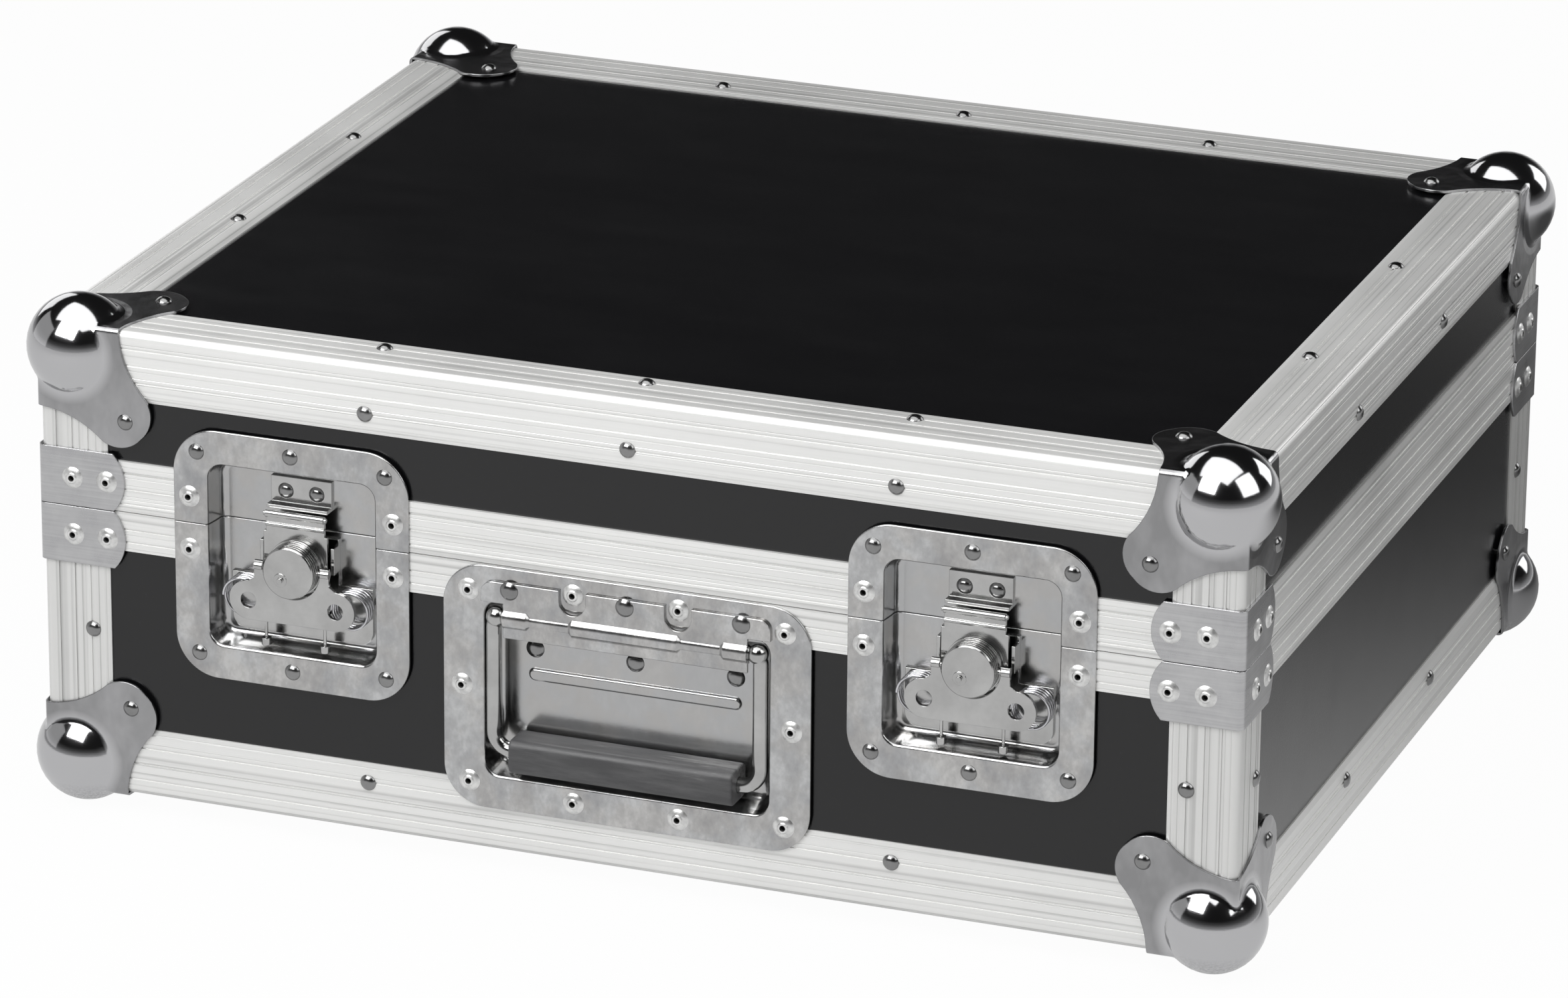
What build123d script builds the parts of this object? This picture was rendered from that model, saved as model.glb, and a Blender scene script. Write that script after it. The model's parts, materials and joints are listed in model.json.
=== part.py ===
from build123d import *
import os
from math import pi, sqrt, cos, sin, radians

os.makedirs("parts", exist_ok=True)

# Driving dimensions in millimetres: the aluminium box without its ball corners
CASE_WIDTH = 522.0
CASE_DEPTH = 430.0
BASE_HEIGHT = 126.0
LID_HEIGHT = 79.0
SEAM_GAP = 0.4
PANEL_THICK = 7.0

# Shared clearances: around shanks, running shafts, pans in their cut-outs, foam in the case, and past cuts
SHANK_CLEAR = 0.1
RUNNING_CLEAR = 0.05
CUTOUT_CLEAR = 0.4
FOAM_CLEAR = 0.2
OVERRUN = 5.0

# Double angle edge extrusions
EDGE_LEG = 30.0
EDGE_WALL = 1.5
EDGE_LIP = 1.3
EDGE_LIP_LENGTH = 12.0
EDGE_RADIUS = 3.0
EDGE_BEVEL = 2.6
EDGE_BEVEL_DROP = 0.8
EDGE_GROOVES = (7.3, 14.5, 21.7)
GROOVE_WIDTH = 0.9
GROOVE_DEPTH = 0.4
CORNER_CROP = 5.0

# Closure extrusions along the seam
BASE_CLOSURE_LEG = 17.0
LID_CLOSURE_LEG = 22.0
CLOSURE_WALL = 1.5
CLOSURE_INNER_LEG = 12.0
GROOVE_FLOOR = 4.5
TONGUE_SETBACK = 3.6
TONGUE_THICK = 2.8
TONGUE_LENGTH = 3.2
BASE_CLOSURE_GROOVES = (7.5, 13.0)
LID_CLOSURE_GROOVES = (3.5, 10.0, 17.0)

# Ball corners
BALL_RADIUS = 22.0
BALL_INSET = 12.6
BALL_WALL = 1.4
BALL_FILLET = 4.0
LEAF_THICK = 1.2
LEAF_EDGE = 36.5
LEAF_WAIST = (40.2, 16.0)
LEAF_SHOULDER = (48.5, 28.5)
LEAF_CHEEK = (50.4, 37.5)
LEAF_TIP = 45.8
LEAF_RADIUS = 2.6
LEAF_RIVET = 39.0

# Corner braces along the seam
BRACE_THICK = 1.2
BRACE_LEG = 38.0
BRACE_STRAIGHT = 33.0
BRACE_TALL = 25.0
BRACE_RADIUS = 3.0
BRACE_RIVETS = (14.5, 30.0)
BRACE_RIVET_RISE = 12.5

# Rivets
DOME_RADIUS = 3.5
DOME_TALL = 1.7
HANDLE_DOME_RADIUS = 4.0
HANDLE_DOME_TALL = 1.5
DOME_SHANK = 1.6
POP_RADIUS = 4.65
POP_TALL = 1.5
POP_SHANK = 2.0
POP_HOLE = 1.3
POP_HOLE_DEPTH = 3.0
POP_COLLAR = 2.5
POP_COLLAR_TALL = 0.45
SHORT_SHANK = 0.4
EDGE_RIVET = 21.5
LONG_RIVET_SHARE = 0.4406
SHORT_RIVET_SHARE = 0.2884
POST_RIVET = 22.0
POST_RIVET_RISE = 72.0

# Latch dishes, split at the seam
LATCH_SHARE = 0.6407
DISH_SHEET = 1.2
LATCH_FLANGE_WIDTH = 105.0
LATCH_FLANGE_ABOVE = 41.5
LATCH_FLANGE_BELOW = 67.4
LATCH_FLANGE_RADIUS = 19.0
LATCH_OPEN_WIDTH = 75.0
LATCH_OPEN_ABOVE = 27.0
LATCH_OPEN_BELOW = 52.5
LATCH_OPEN_RADIUS = 7.0
LATCH_DEPTH = 11.5
LATCH_TAPER = 8.0
LATCH_FLOOR_RADIUS = 3.0
DISH_LIP_RADIUS = 1.4
DISH_RIM_RADIUS = 0.5
LATCH_CORNER_RIVET = 42.0
LATCH_CORNER_RIVET_ABOVE = 31.5
LATCH_CORNER_RIVET_BELOW = 57.0
LATCH_MIDDLE_RIVET_ABOVE = 34.6
LATCH_MIDDLE_RIVET_BELOW = 59.9
LATCH_SIDE_RIVET = 45.5
LATCH_SIDE_RIVET_RISE = 11.5

# Butterfly latch: its depths run inward from the aluminium face
KNOB_DROP = 15.0
KNOB_RADIUS = 11.3
KNOB_TALL = 7.4
KNOB_CHAMFER = 0.6
KNOB_RING_RADIUS = 12.0
KNOB_RING_THICK = 1.0
KNOB_RING_GAP = 0.3
KNOB_GROOVE = 0.7
KNOB_GROOVE_SHARES = (0.3, 0.52, 0.74)
KNOB_GROOVE_WIDTH = 0.9
KNOB_STUD_RADIUS = 2.9
KNOB_STUD_TALL = 0.3
KNOB_STUD_TIP = 1.2
KNOB_STUD_OFFSET = 3.2
SPINDLE_RADIUS = 2.5
SPINDLE_END_GAP = 0.2
ECCENTRIC_RADIUS = 5.0
CLAW_LIFT = 6.0
ECCENTRIC_PLAY = 1.0
CLAW_WIDTH = 26.0
CLAW_LOWER_WIDTH = 28.4
CLAW_STEP_RISE = 14.5
CLAW_SHEET = 1.5
CLAW_STAND = 5.1
CLAW_RISE = 22.2
CLAW_RIDGE_DROP = 4.6
CLAW_RIDGE_RADIUS = 0.9
CLAW_HEM = 3.5
CLAW_BEAD_RADIUS = 1.6
CLAW_PIN_RADIUS = 0.9
CLAW_PIN_OUT = 1.0
CLAW_CORNER = 2.0
WING_SHEET = 1.8
WING_SETBACK = 4.0
WING_CUT_RADIUS = 12.7
WING_ARM_WIDTH = 4.0
WING_HORN = 2.4
WING_SHOULDER_DROP = 5.0
WING_LOBE_X = 19.5
WING_LOBE_DROP = 15.5
WING_LOBE_RADIUS = 8.5
WING_HOLE_RADIUS = 3.5
WING_PIN_RADIUS = 1.0
WING_BARREL_RADIUS = 1.7
WING_BARREL_GAP = 0.3
WING_PIN_ROOT = 1.0
FRAME_SHEET = 1.5
FRAME_TOP = 12.0
FRAME_BOTTOM = 33.0
FRAME_SHELF_HALF_WIDTH = 31.6
FRAME_SHELF_TOP = -8.0
FRAME_SHELF_RADIUS = 6.0
FRAME_EAR_GAP = 0.9
FRAME_EAR_TALL = 5.0
FRAME_EAR_LOW = -2.0
FRAME_EAR_HIGH = 9.5
ROD_X = 13.2
ROD_RADIUS = 0.7
ROD_DEPTH = 2.6
ROD_HIGH = 21.0
ROD_LOW = 35.4
ROD_LUG_TALL = 2.0
ROD_NUT_RADIUS = 2.1
ROD_NUT_TALL = 3.0
SPRING_X = 24.2
SPRING_DROP = 16.0
SPRING_RADIUS = 8.0
SPRING_WIRE = 1.2
SPRING_PITCH = 2.1
SPRING_QUARTERS = 14
SPRING_SEAT_GAP = 0.1
STRIKE_WIDTH = 27.0
STRIKE_SHEET = 1.5
STRIKE_LOW = 9.0
STRIKE_HIGH = 21.5
STRIKE_CLEAR = 0.3
STRIKE_RIVET_X = 6.9
STRIKE_RIVET_RISE = 15.4

# Handle dish, bracket and bail
HANDLE_WIDTH_SHARE = 0.3477
HANDLE_LOW_SHARE = 0.1508
HANDLE_TOP_GAP = 0.4
HANDLE_FLANGE_RADIUS = 18.0
HANDLE_FLANGE_RIM = 17.8
HANDLE_RIM_BELOW = 14.5
HANDLE_RIM_ABOVE = 15.1
HANDLE_OPEN_RADIUS = 7.0
HANDLE_DEPTH = 9.5
HANDLE_TAPER = 20.0
HANDLE_FLOOR_RADIUS = 3.5
BEAD_END_INSET = 16.0
BEAD_WIDTH = 5.4
BEAD_TALL = 1.4
BEAD_RADIUS = 1.2
BEAD_DROP = 33.7
FLOOR_RIVET_INSET = 18.6
FLOOR_RIVET_DROP = 22.5
HANDLE_CORNER_RIVET_INSET = 11.3
HANDLE_CORNER_RIVET_DROP = 11.2
HANDLE_INNER_RIVET_X = 23.0
HANDLE_INNER_RIVET_DROP = 7.6
HANDLE_SIDE_RIVET_INSET = 8.3
BRACKET_SHEET = 1.5
BRACKET_OVERLAP = 0.5
BRACKET_TOP_DROP = 6.1
BRACKET_HANG = 14.8
BRACKET_LOWER_INSET = 9.3
BRACKET_CORNER = 5.0
BRACKET_RIVET_INSET = 12.0
BRACKET_RIVET_DROP = 9.2
NOTCH_RADIUS = 5.9
NOTCH_DROP = 10.3
CHANNEL_WALL = 1.3
RIDGE_RADIUS = 3.4
CHANNEL_LENGTH = 10.2
CENTRE_ROLL_HALF = 23.0
ROLL_TAPER = 1.5
BAIL_RADIUS = 3.25
BAIL_INSET = 4.3
BAIL_PIVOT_DROP = 6.7
BAIL_GRIP_LIFT = 12.0
BAIL_STUB_LENGTH = 14.2
BAIL_BOSS_RADIUS = 4.5
BAIL_TOP_BEND = 4.5
BAIL_BOTTOM_BEND = 8.0
GRIP_THICK = 14.8
GRIP_DEEP = 17.0
GRIP_CORNER = 3.6
GRIP_INSET = 9.2
GRIP_EDGE = 1.0

# Hinges on the back
HINGE_SHARE = 0.575
HINGE_WIDTH = 70.0
HINGE_LEAF_THICK = 2.0
HINGE_LEAF_TALL = 44.0
HINGE_LEAF_RADIUS = 6.0
HINGE_AXIS_OUT = 5.2
KNUCKLE_RADIUS = 3.9
KNUCKLE_SHARES = (0.29, 0.42, 0.29)
KNUCKLE_SIDE_GAP = 0.3
KNUCKLE_CUTBACK = 4.6
PIN_RADIUS = 2.0
PIN_HEAD_RADIUS = 3.0
PIN_HEAD_THICK = 1.2
HINGE_RIVET_X = 24.0
HINGE_RIVET_RISES = (14.0, 34.0)

# Foam lining, cut for a turntable that is 453 x 353 mm in a case of this size
FOAM_SIDE_WALL = 23.0
FOAM_FRONT_WALL = 27.0
BED_RADIUS = 4.0
BASE_PAD = 15.0
LID_PAD = 7.5
PAN_POCKET = 1.0

# Places worked out from the sizes above
X_OUT = CASE_WIDTH / 2
Y_OUT = CASE_DEPTH / 2
PANEL_HALF = X_OUT - EDGE_LEG
LATCH_X = PANEL_HALF * LATCH_SHARE
HINGE_X = X_OUT * HINGE_SHARE
LONG_RIVET_PITCH = X_OUT * LONG_RIVET_SHARE
SHORT_RIVET_PITCH = Y_OUT * SHORT_RIVET_SHARE
HANDLE_HALF = PANEL_HALF * HANDLE_WIDTH_SHARE
HANDLE_OPEN_HALF = HANDLE_HALF - HANDLE_FLANGE_RIM
BAIL_HALF_WIDTH = HANDLE_OPEN_HALF - BAIL_INSET
BRACKET_LOWER_HALF = HANDLE_OPEN_HALF - BRACKET_LOWER_INSET
FOOT = BALL_RADIUS - BALL_INSET
SEAM_Z = FOOT + BASE_HEIGHT
TOP_Z = SEAM_Z + LID_HEIGHT
BASE_TOP = SEAM_Z - SEAM_GAP / 2
LID_BOTTOM = SEAM_Z + SEAM_GAP / 2
SLOT_END = EDGE_WALL + PANEL_THICK
PANEL_STOP = SLOT_END + EDGE_LIP
PAN_CUT = DISH_SHEET + CUTOUT_CLEAR
KNOB_Z = SEAM_Z - KNOB_DROP
FRAME_FRONT = LATCH_DEPTH - FRAME_SHEET
CLAW_BACK = FRAME_FRONT - CLAW_STAND
CLAW_FRONT = CLAW_BACK - CLAW_SHEET
RING_BACK = CLAW_FRONT - KNOB_RING_GAP
KNOB_BACK = RING_BACK - KNOB_RING_THICK
KNOB_FRONT = KNOB_BACK - KNOB_TALL
WING_FRONT = KNOB_FRONT + WING_SETBACK
WING_AXIS = WING_FRONT + WING_SHEET / 2
HANDLE_LOW = FOOT + BASE_HEIGHT * HANDLE_LOW_SHARE
HANDLE_HIGH = SEAM_Z - HANDLE_TOP_GAP
HANDLE_OPEN_LOW = HANDLE_LOW + HANDLE_RIM_BELOW
HANDLE_OPEN_HIGH = HANDLE_HIGH - HANDLE_RIM_ABOVE
BRACKET_HIGH = HANDLE_HIGH - BRACKET_TOP_DROP
BRACKET_LOW = HANDLE_OPEN_HIGH - BRACKET_HANG
BAIL_Z = HANDLE_OPEN_HIGH - BAIL_PIVOT_DROP
GRIP_Z = HANDLE_OPEN_LOW + BAIL_GRIP_LIFT
HINGE_Y = Y_OUT + HINGE_AXIS_OUT

LOW = (Align.MIN, Align.MIN)
FROM_FACE = (Align.CENTER, Align.CENTER, Align.MAX)

# Wall planes: x along the wall, y up from the ground, z outward
FRONT = Plane(origin=(0, -Y_OUT, 0), x_dir=(1, 0, 0), z_dir=(0, -1, 0))
BACK = Plane(origin=(0, Y_OUT, 0), x_dir=(-1, 0, 0), z_dir=(0, 1, 0))
LEFT = Plane(origin=(-X_OUT, 0, 0), x_dir=(0, -1, 0), z_dir=(-1, 0, 0))
RIGHT = Plane(origin=(X_OUT, 0, 0), x_dir=(0, 1, 0), z_dir=(1, 0, 0))
TOP = Plane(origin=(0, 0, TOP_Z), x_dir=(1, 0, 0), z_dir=(0, 0, 1))
BOTTOM = Plane(origin=(0, 0, FOOT), x_dir=(1, 0, 0), z_dir=(0, 0, -1))
WALLS = {
    "front": (FRONT, CASE_WIDTH),
    "back": (BACK, CASE_WIDTH),
    "left": (LEFT, CASE_DEPTH),
    "right": (RIGHT, CASE_DEPTH),
}
SIDES = {"left": -LATCH_X, "right": LATCH_X}

pieces = {}


def both_sides(distance, rise):
    """The same height left and right of a wall's middle."""
    return [(-distance, rise), (distance, rise)]


def seats(wall, points, out=0.0):
    """Planes for rivets at points on a wall, each looking outward."""
    return [
        Plane(origin=wall.origin + wall.x_dir * u + wall.y_dir * v + wall.z_dir * out, z_dir=wall.z_dir)
        for u, v in points
    ]


def edge_seats(walls, long_row, rise):
    """Rivets of the horizontal edge legs: a row on the long walls, a pair on the short ones."""
    found = []
    for wall in walls:
        long_wall = wall in (FRONT, BACK)
        row = long_row if long_wall else (-SHORT_RIVET_PITCH, SHORT_RIVET_PITCH)
        found += seats(wall, [(u, rise) for u in row])
    return found


def flat_edge_seats(face, long_row):
    """Rivets of the edge legs that lie on the top or the bottom of the case."""
    rows = [(u, side * (Y_OUT - EDGE_RIVET)) for u in long_row for side in (-1, 1)]
    short_row = (-SHORT_RIVET_PITCH, SHORT_RIVET_PITCH)
    rows += [(side * (X_OUT - EDGE_RIVET), v) for v in short_row for side in (-1, 1)]
    return seats(face, rows)


def leaf_seats(face, rise):
    """Rivets of the ball corners' leaves: two on each wall and four on the flat face."""
    found = []
    for wall, length in WALLS.values():
        found += seats(wall, both_sides(length / 2 - LEAF_RIVET, rise), LEAF_THICK)
    corners = [(x * (X_OUT - LEAF_RIVET), y * (Y_OUT - LEAF_RIVET)) for x in (-1, 1) for y in (-1, 1)]
    return found + seats(face, corners, LEAF_THICK)


def brace_seats(rise):
    found = []
    for wall, length in WALLS.values():
        for inward in BRACE_RIVETS:
            found += seats(wall, both_sides(length / 2 - inward, rise), BRACE_THICK)
    return found


def around_latches(points):
    """Points about both latch dishes' middles, heights from the seam."""
    return [(x + u, SEAM_Z + v) for x in SIDES.values() for u, v in points]


def hinge_points(sign):
    rows = [(u, sign * rise) for rise in HINGE_RIVET_RISES for u in (-HINGE_RIVET_X, HINGE_RIVET_X)]
    return [(side * HINGE_X + u, SEAM_Z + v) for side in (-1, 1) for u, v in rows]


# Rivet seats, by how far they stand out from the aluminium face
PAIR_ROW = (-LONG_RIVET_PITCH, LONG_RIVET_PITCH)
TRIPLE_ROW = (-LONG_RIVET_PITCH, 0.0, LONG_RIVET_PITCH)
FOUR_WALLS = (FRONT, BACK, LEFT, RIGHT)
base_post_seats = [
    seat
    for wall, length in WALLS.values()
    for seat in seats(wall, both_sides(length / 2 - POST_RIVET, FOOT + POST_RIVET_RISE))
]
base_flush_domes = edge_seats(FOUR_WALLS, PAIR_ROW, FOOT + EDGE_RIVET) + flat_edge_seats(BOTTOM, PAIR_ROW)
base_flush_domes += base_post_seats
lid_flush_domes = edge_seats(FOUR_WALLS, TRIPLE_ROW, TOP_Z - EDGE_RIVET) + flat_edge_seats(TOP, TRIPLE_ROW)
base_leaf_domes = leaf_seats(BOTTOM, FOOT + LEAF_RIVET)
lid_leaf_domes = leaf_seats(TOP, TOP_Z - LEAF_RIVET)
below_seam = both_sides(LATCH_CORNER_RIVET, -LATCH_CORNER_RIVET_BELOW) + [(0, -LATCH_MIDDLE_RIVET_BELOW)]
above_seam = both_sides(LATCH_CORNER_RIVET, LATCH_CORNER_RIVET_ABOVE) + [(0, LATCH_MIDDLE_RIVET_ABOVE)]
base_dish_domes = seats(FRONT, around_latches(below_seam), DISH_SHEET)
lid_dish_domes = seats(FRONT, around_latches(above_seam), DISH_SHEET)
bracket_row = both_sides(HANDLE_OPEN_HALF - BRACKET_RIVET_INSET, HANDLE_HIGH - BRACKET_RIVET_DROP)
bracket_row += [(0, HANDLE_HIGH - BRACKET_RIVET_DROP)]
bracket_domes = seats(FRONT, bracket_row, DISH_SHEET + BRACKET_SHEET)
floor_row = both_sides(HANDLE_OPEN_HALF - FLOOR_RIVET_INSET, HANDLE_OPEN_HIGH - FLOOR_RIVET_DROP)
floor_row += [(0, HANDLE_OPEN_HIGH - FLOOR_RIVET_DROP)]
floor_domes = seats(FRONT, floor_row, -HANDLE_DEPTH)
strike_row = around_latches(both_sides(STRIKE_RIVET_X, STRIKE_RIVET_RISE))
strike_domes = seats(FRONT, strike_row, STRIKE_SHEET - LATCH_DEPTH)
base_hinge_domes = seats(BACK, hinge_points(-1), HINGE_LEAF_THICK)
lid_hinge_domes = seats(BACK, hinge_points(1), HINGE_LEAF_THICK)
base_brace_pops = brace_seats(SEAM_Z - BRACE_RIVET_RISE)
lid_brace_pops = brace_seats(SEAM_Z + BRACE_RIVET_RISE)
base_dish_row = around_latches(both_sides(LATCH_SIDE_RIVET, -LATCH_SIDE_RIVET_RISE))
lid_dish_row = around_latches(both_sides(LATCH_SIDE_RIVET, LATCH_SIDE_RIVET_RISE))
base_dish_pops = seats(FRONT, base_dish_row, DISH_SHEET)
lid_dish_pops = seats(FRONT, lid_dish_row, DISH_SHEET)
handle_rivets = both_sides(HANDLE_HALF - HANDLE_SIDE_RIVET_INSET, (HANDLE_LOW + HANDLE_HIGH) / 2)
for edge_z, inward in ((HANDLE_LOW, 1), (HANDLE_HIGH, -1)):
    corner_z = edge_z + inward * HANDLE_CORNER_RIVET_DROP
    handle_rivets += both_sides(HANDLE_HALF - HANDLE_CORNER_RIVET_INSET, corner_z)
    handle_rivets += both_sides(HANDLE_INNER_RIVET_X, edge_z + inward * HANDLE_INNER_RIVET_DROP)
handle_pops = seats(FRONT, handle_rivets, DISH_SHEET)
base_domes = base_flush_domes + base_leaf_domes + base_dish_domes + bracket_domes + base_hinge_domes
lid_domes = lid_flush_domes + lid_leaf_domes + lid_dish_domes + lid_hinge_domes
base_pops = base_brace_pops + base_dish_pops + handle_pops
lid_pops = lid_brace_pops + lid_dish_pops


def drill(places, shank, wall=None):
    """Shank holes into the current part, of one wall's rivets or of them all."""
    near = [place.offset(OVERRUN) for place in places if wall is None or place.z_dir.dot(wall.z_dir) > 0]
    near = [place for place in near if wall is None or abs(place.z_dir.dot(wall.z_dir)) > sqrt(1 / 2)]
    if near:
        deep = OVERRUN + SLOT_END + HANDLE_DEPTH
        with Locations(*near):
            Cylinder(shank + SHANK_CLEAR, deep, align=FROM_FACE, mode=Mode.SUBTRACT)


def drill_base(wall=None):
    drill(base_domes, DOME_SHANK, wall)
    drill(base_pops, POP_SHANK, wall)


def drill_lid(wall=None):
    drill(lid_domes, DOME_SHANK, wall)
    drill(lid_pops, POP_SHANK, wall)


# Sections of the extrusions, drawn into the caller's sketch
def edge_section():
    """Double angle with its outer corner at the origin: an outer L, an inner L and the web between."""
    web_start = EDGE_WALL * (1 - 1 / sqrt(8))
    web_end = SLOT_END + EDGE_LIP / 2
    Rectangle(EDGE_LEG, EDGE_WALL, align=LOW)
    Rectangle(EDGE_WALL, EDGE_LEG, align=LOW)
    fillet(vertices().sort_by_distance((0, 0))[0], EDGE_RADIUS)
    with Locations((SLOT_END, SLOT_END)):
        Rectangle(EDGE_LIP_LENGTH, EDGE_LIP, align=LOW)
        Rectangle(EDGE_LIP, EDGE_LIP_LENGTH, align=LOW)
    with Locations(((web_start + web_end) / 2, (web_start + web_end) / 2)):
        Rectangle((web_end - web_start) * sqrt(2), EDGE_LIP, rotation=45)
    for place in EDGE_GROOVES:
        with Locations((place, 0)):
            Rectangle(GROOVE_WIDTH, GROOVE_DEPTH * 2, mode=Mode.SUBTRACT)
        with Locations((0, place)):
            Rectangle(GROOVE_DEPTH * 2, GROOVE_WIDTH, mode=Mode.SUBTRACT)
    bevel = [(EDGE_LEG - EDGE_BEVEL, 0), (EDGE_LEG, 0), (EDGE_LEG, EDGE_BEVEL_DROP)]
    Polygon(*bevel, align=None, mode=Mode.SUBTRACT)
    Polygon(*[(v, u) for u, v in bevel], align=None, mode=Mode.SUBTRACT)


def closure_section(leg, bridge, grooves):
    """Closure with its outer edge on the seam: two legs astride the panel and a bridge under the seam."""
    Rectangle(EDGE_WALL, leg, align=LOW)
    with Locations((SLOT_END, 0)):
        Rectangle(CLOSURE_WALL, CLOSURE_INNER_LEG, align=LOW)
    with Locations((0, bridge)):
        Rectangle(SLOT_END + CLOSURE_WALL, CLOSURE_WALL, align=LOW)
    for place in grooves:
        with Locations((0, place)):
            Rectangle(GROOVE_DEPTH * 2, GROOVE_WIDTH, mode=Mode.SUBTRACT)


def section_plane(wall, height, up):
    """A section across a wall's run: x inward from its face, y up or down from the given height."""
    return Plane(origin=wall.origin + Vector(0, 0, height), x_dir=-wall.z_dir, z_dir=wall.x_dir * up)


def mitre_planes(wall, length):
    """The two vertical planes at 45 degrees where a wall's extrusion meets its neighbours."""
    mitres = []
    for along in (-wall.x_dir, wall.x_dir):
        mitres.append(Plane(origin=wall.origin + along * length / 2, z_dir=along - wall.z_dir))
    return mitres


def crop_corners():
    """Cuts the extrusions' tips back under the ball corners."""
    tips = [(x * X_OUT, y * Y_OUT, z) for x in (-1, 1) for y in (-1, 1) for z in (FOOT, TOP_Z)]
    with Locations(*tips):
        Box(CORNER_CROP * 2, CORNER_CROP * 2, CORNER_CROP * 2, mode=Mode.SUBTRACT)


def edge_extrusion(wall, length, height, up):
    with BuildPart() as edge:
        with BuildSketch(section_plane(wall, height, up)):
            edge_section()
        extrude(amount=length / 2, both=True)
        for mitre in mitre_planes(wall, length):
            split(bisect_by=mitre, keep=Keep.BOTTOM)
        crop_corners()
        if up > 0:
            drill_base()
        else:
            drill_lid()
    return edge


def corner_posts(low, high):
    """Four uprights of the edge section between the horizontal edges and the closures."""
    with BuildPart() as posts:
        for x in (-1, 1):
            for y in (-1, 1):
                corner = (x * X_OUT, y * Y_OUT, (low + high) / 2)
                with BuildSketch(Plane(origin=corner, x_dir=(-x, 0, 0), z_dir=(0, 0, x * y))):
                    edge_section()
        extrude(amount=(high - low) / 2, both=True)
        drill_base()
    return posts


def latch_holes():
    """Cut-outs for both latch pans, in a sketch on the front wall."""
    middle = SEAM_Z + (LATCH_OPEN_ABOVE - LATCH_OPEN_BELOW) / 2
    tall = LATCH_OPEN_ABOVE + LATCH_OPEN_BELOW
    with Locations(*[(x, middle) for x in SIDES.values()]):
        RectangleRounded(LATCH_OPEN_WIDTH + PAN_CUT * 2, tall + PAN_CUT * 2, LATCH_OPEN_RADIUS + PAN_CUT)


def handle_hole():
    """Cut-out for the handle pan, in a sketch on the front wall."""
    with Locations((0, (HANDLE_OPEN_LOW + HANDLE_OPEN_HIGH) / 2)):
        tall = HANDLE_OPEN_HIGH - HANDLE_OPEN_LOW
        RectangleRounded((HANDLE_OPEN_HALF + PAN_CUT) * 2, tall + PAN_CUT * 2, HANDLE_OPEN_RADIUS + PAN_CUT)


def cut_front_pans():
    """Takes the space of the three pans out of the current part."""
    with BuildSketch(FRONT.offset(OVERRUN)) as holes:
        latch_holes()
        handle_hole()
    extrude(holes.sketch, amount=-(OVERRUN * 2 + SLOT_END), mode=Mode.SUBTRACT)


def closure_extrusion(wall, length, up):
    """A mitred closure: grooved on the base, tongued on the lid."""
    height = LID_BOTTOM if up > 0 else BASE_TOP
    with BuildPart() as closure:
        with BuildSketch(section_plane(wall, height, up)):
            if up > 0:
                closure_section(LID_CLOSURE_LEG, 0, LID_CLOSURE_GROOVES)
                with Locations((TONGUE_SETBACK, -TONGUE_LENGTH)):
                    Rectangle(TONGUE_THICK, TONGUE_LENGTH + CLOSURE_WALL, align=LOW)
            else:
                closure_section(BASE_CLOSURE_LEG, GROOVE_FLOOR, BASE_CLOSURE_GROOVES)
        extrude(amount=length / 2, both=True)
        for mitre in mitre_planes(wall, length):
            split(bisect_by=mitre, keep=Keep.BOTTOM)
        if wall is FRONT:
            cut_front_pans()
        if up > 0:
            drill_lid(wall)
        else:
            drill_base(wall)
    return closure


def wall_panel(wall, length, low, high, drill_piece):
    """An upright panel in the slots of its extrusions."""
    with BuildPart() as panel:
        with BuildSketch(wall.offset(-EDGE_WALL)):
            with Locations((0, (low + high) / 2)):
                Rectangle(length - PANEL_STOP * 2, high - low)
        extrude(amount=-PANEL_THICK)
        if wall is FRONT:
            cut_front_pans()
        drill_piece(wall)
    return panel


def flat_panel(face, drill_piece):
    """The top or the bottom panel."""
    with BuildPart() as panel:
        with BuildSketch(face.offset(-EDGE_WALL)):
            Rectangle(CASE_WIDTH - PANEL_STOP * 2, CASE_DEPTH - PANEL_STOP * 2)
        extrude(amount=-PANEL_THICK)
        drill_piece(face)
    return panel


# Walls: panels, edges, closures and posts
for name, (wall, length) in WALLS.items():
    base_panel_top = BASE_TOP - GROOVE_FLOOR - CLOSURE_WALL
    lid_panel_bottom = LID_BOTTOM + CLOSURE_WALL
    pieces[f"base_{name}_panel"] = wall_panel(wall, length, FOOT + PANEL_STOP, base_panel_top, drill_base)
    pieces[f"lid_{name}_panel"] = wall_panel(wall, length, lid_panel_bottom, TOP_Z - PANEL_STOP, drill_lid)
    pieces[f"base_{name}_edge"] = edge_extrusion(wall, length, FOOT, 1)
    pieces[f"lid_{name}_edge"] = edge_extrusion(wall, length, TOP_Z, -1)
    pieces[f"base_{name}_closure"] = closure_extrusion(wall, length, -1)
    pieces[f"lid_{name}_closure"] = closure_extrusion(wall, length, 1)
pieces["base_bottom_panel"] = flat_panel(BOTTOM, drill_base)
pieces["lid_top_panel"] = flat_panel(TOP, drill_lid)
pieces["base_posts"] = corner_posts(FOOT + EDGE_LEG, BASE_TOP - BASE_CLOSURE_LEG)
pieces["lid_posts"] = corner_posts(LID_BOTTOM + LID_CLOSURE_LEG, TOP_Z - EDGE_LEG)


def on_ball(edge):
    """Whether an edge of the ball corner lies on the ball's outer surface."""
    middle = Vector(BALL_INSET, BALL_INSET, BALL_INSET)
    spots = [edge.position_at(share) for share in (0, 1 / 2, 1)]
    return all(abs((spot - middle).length - BALL_RADIUS) < SHANK_CLEAR for spot in spots)


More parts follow.
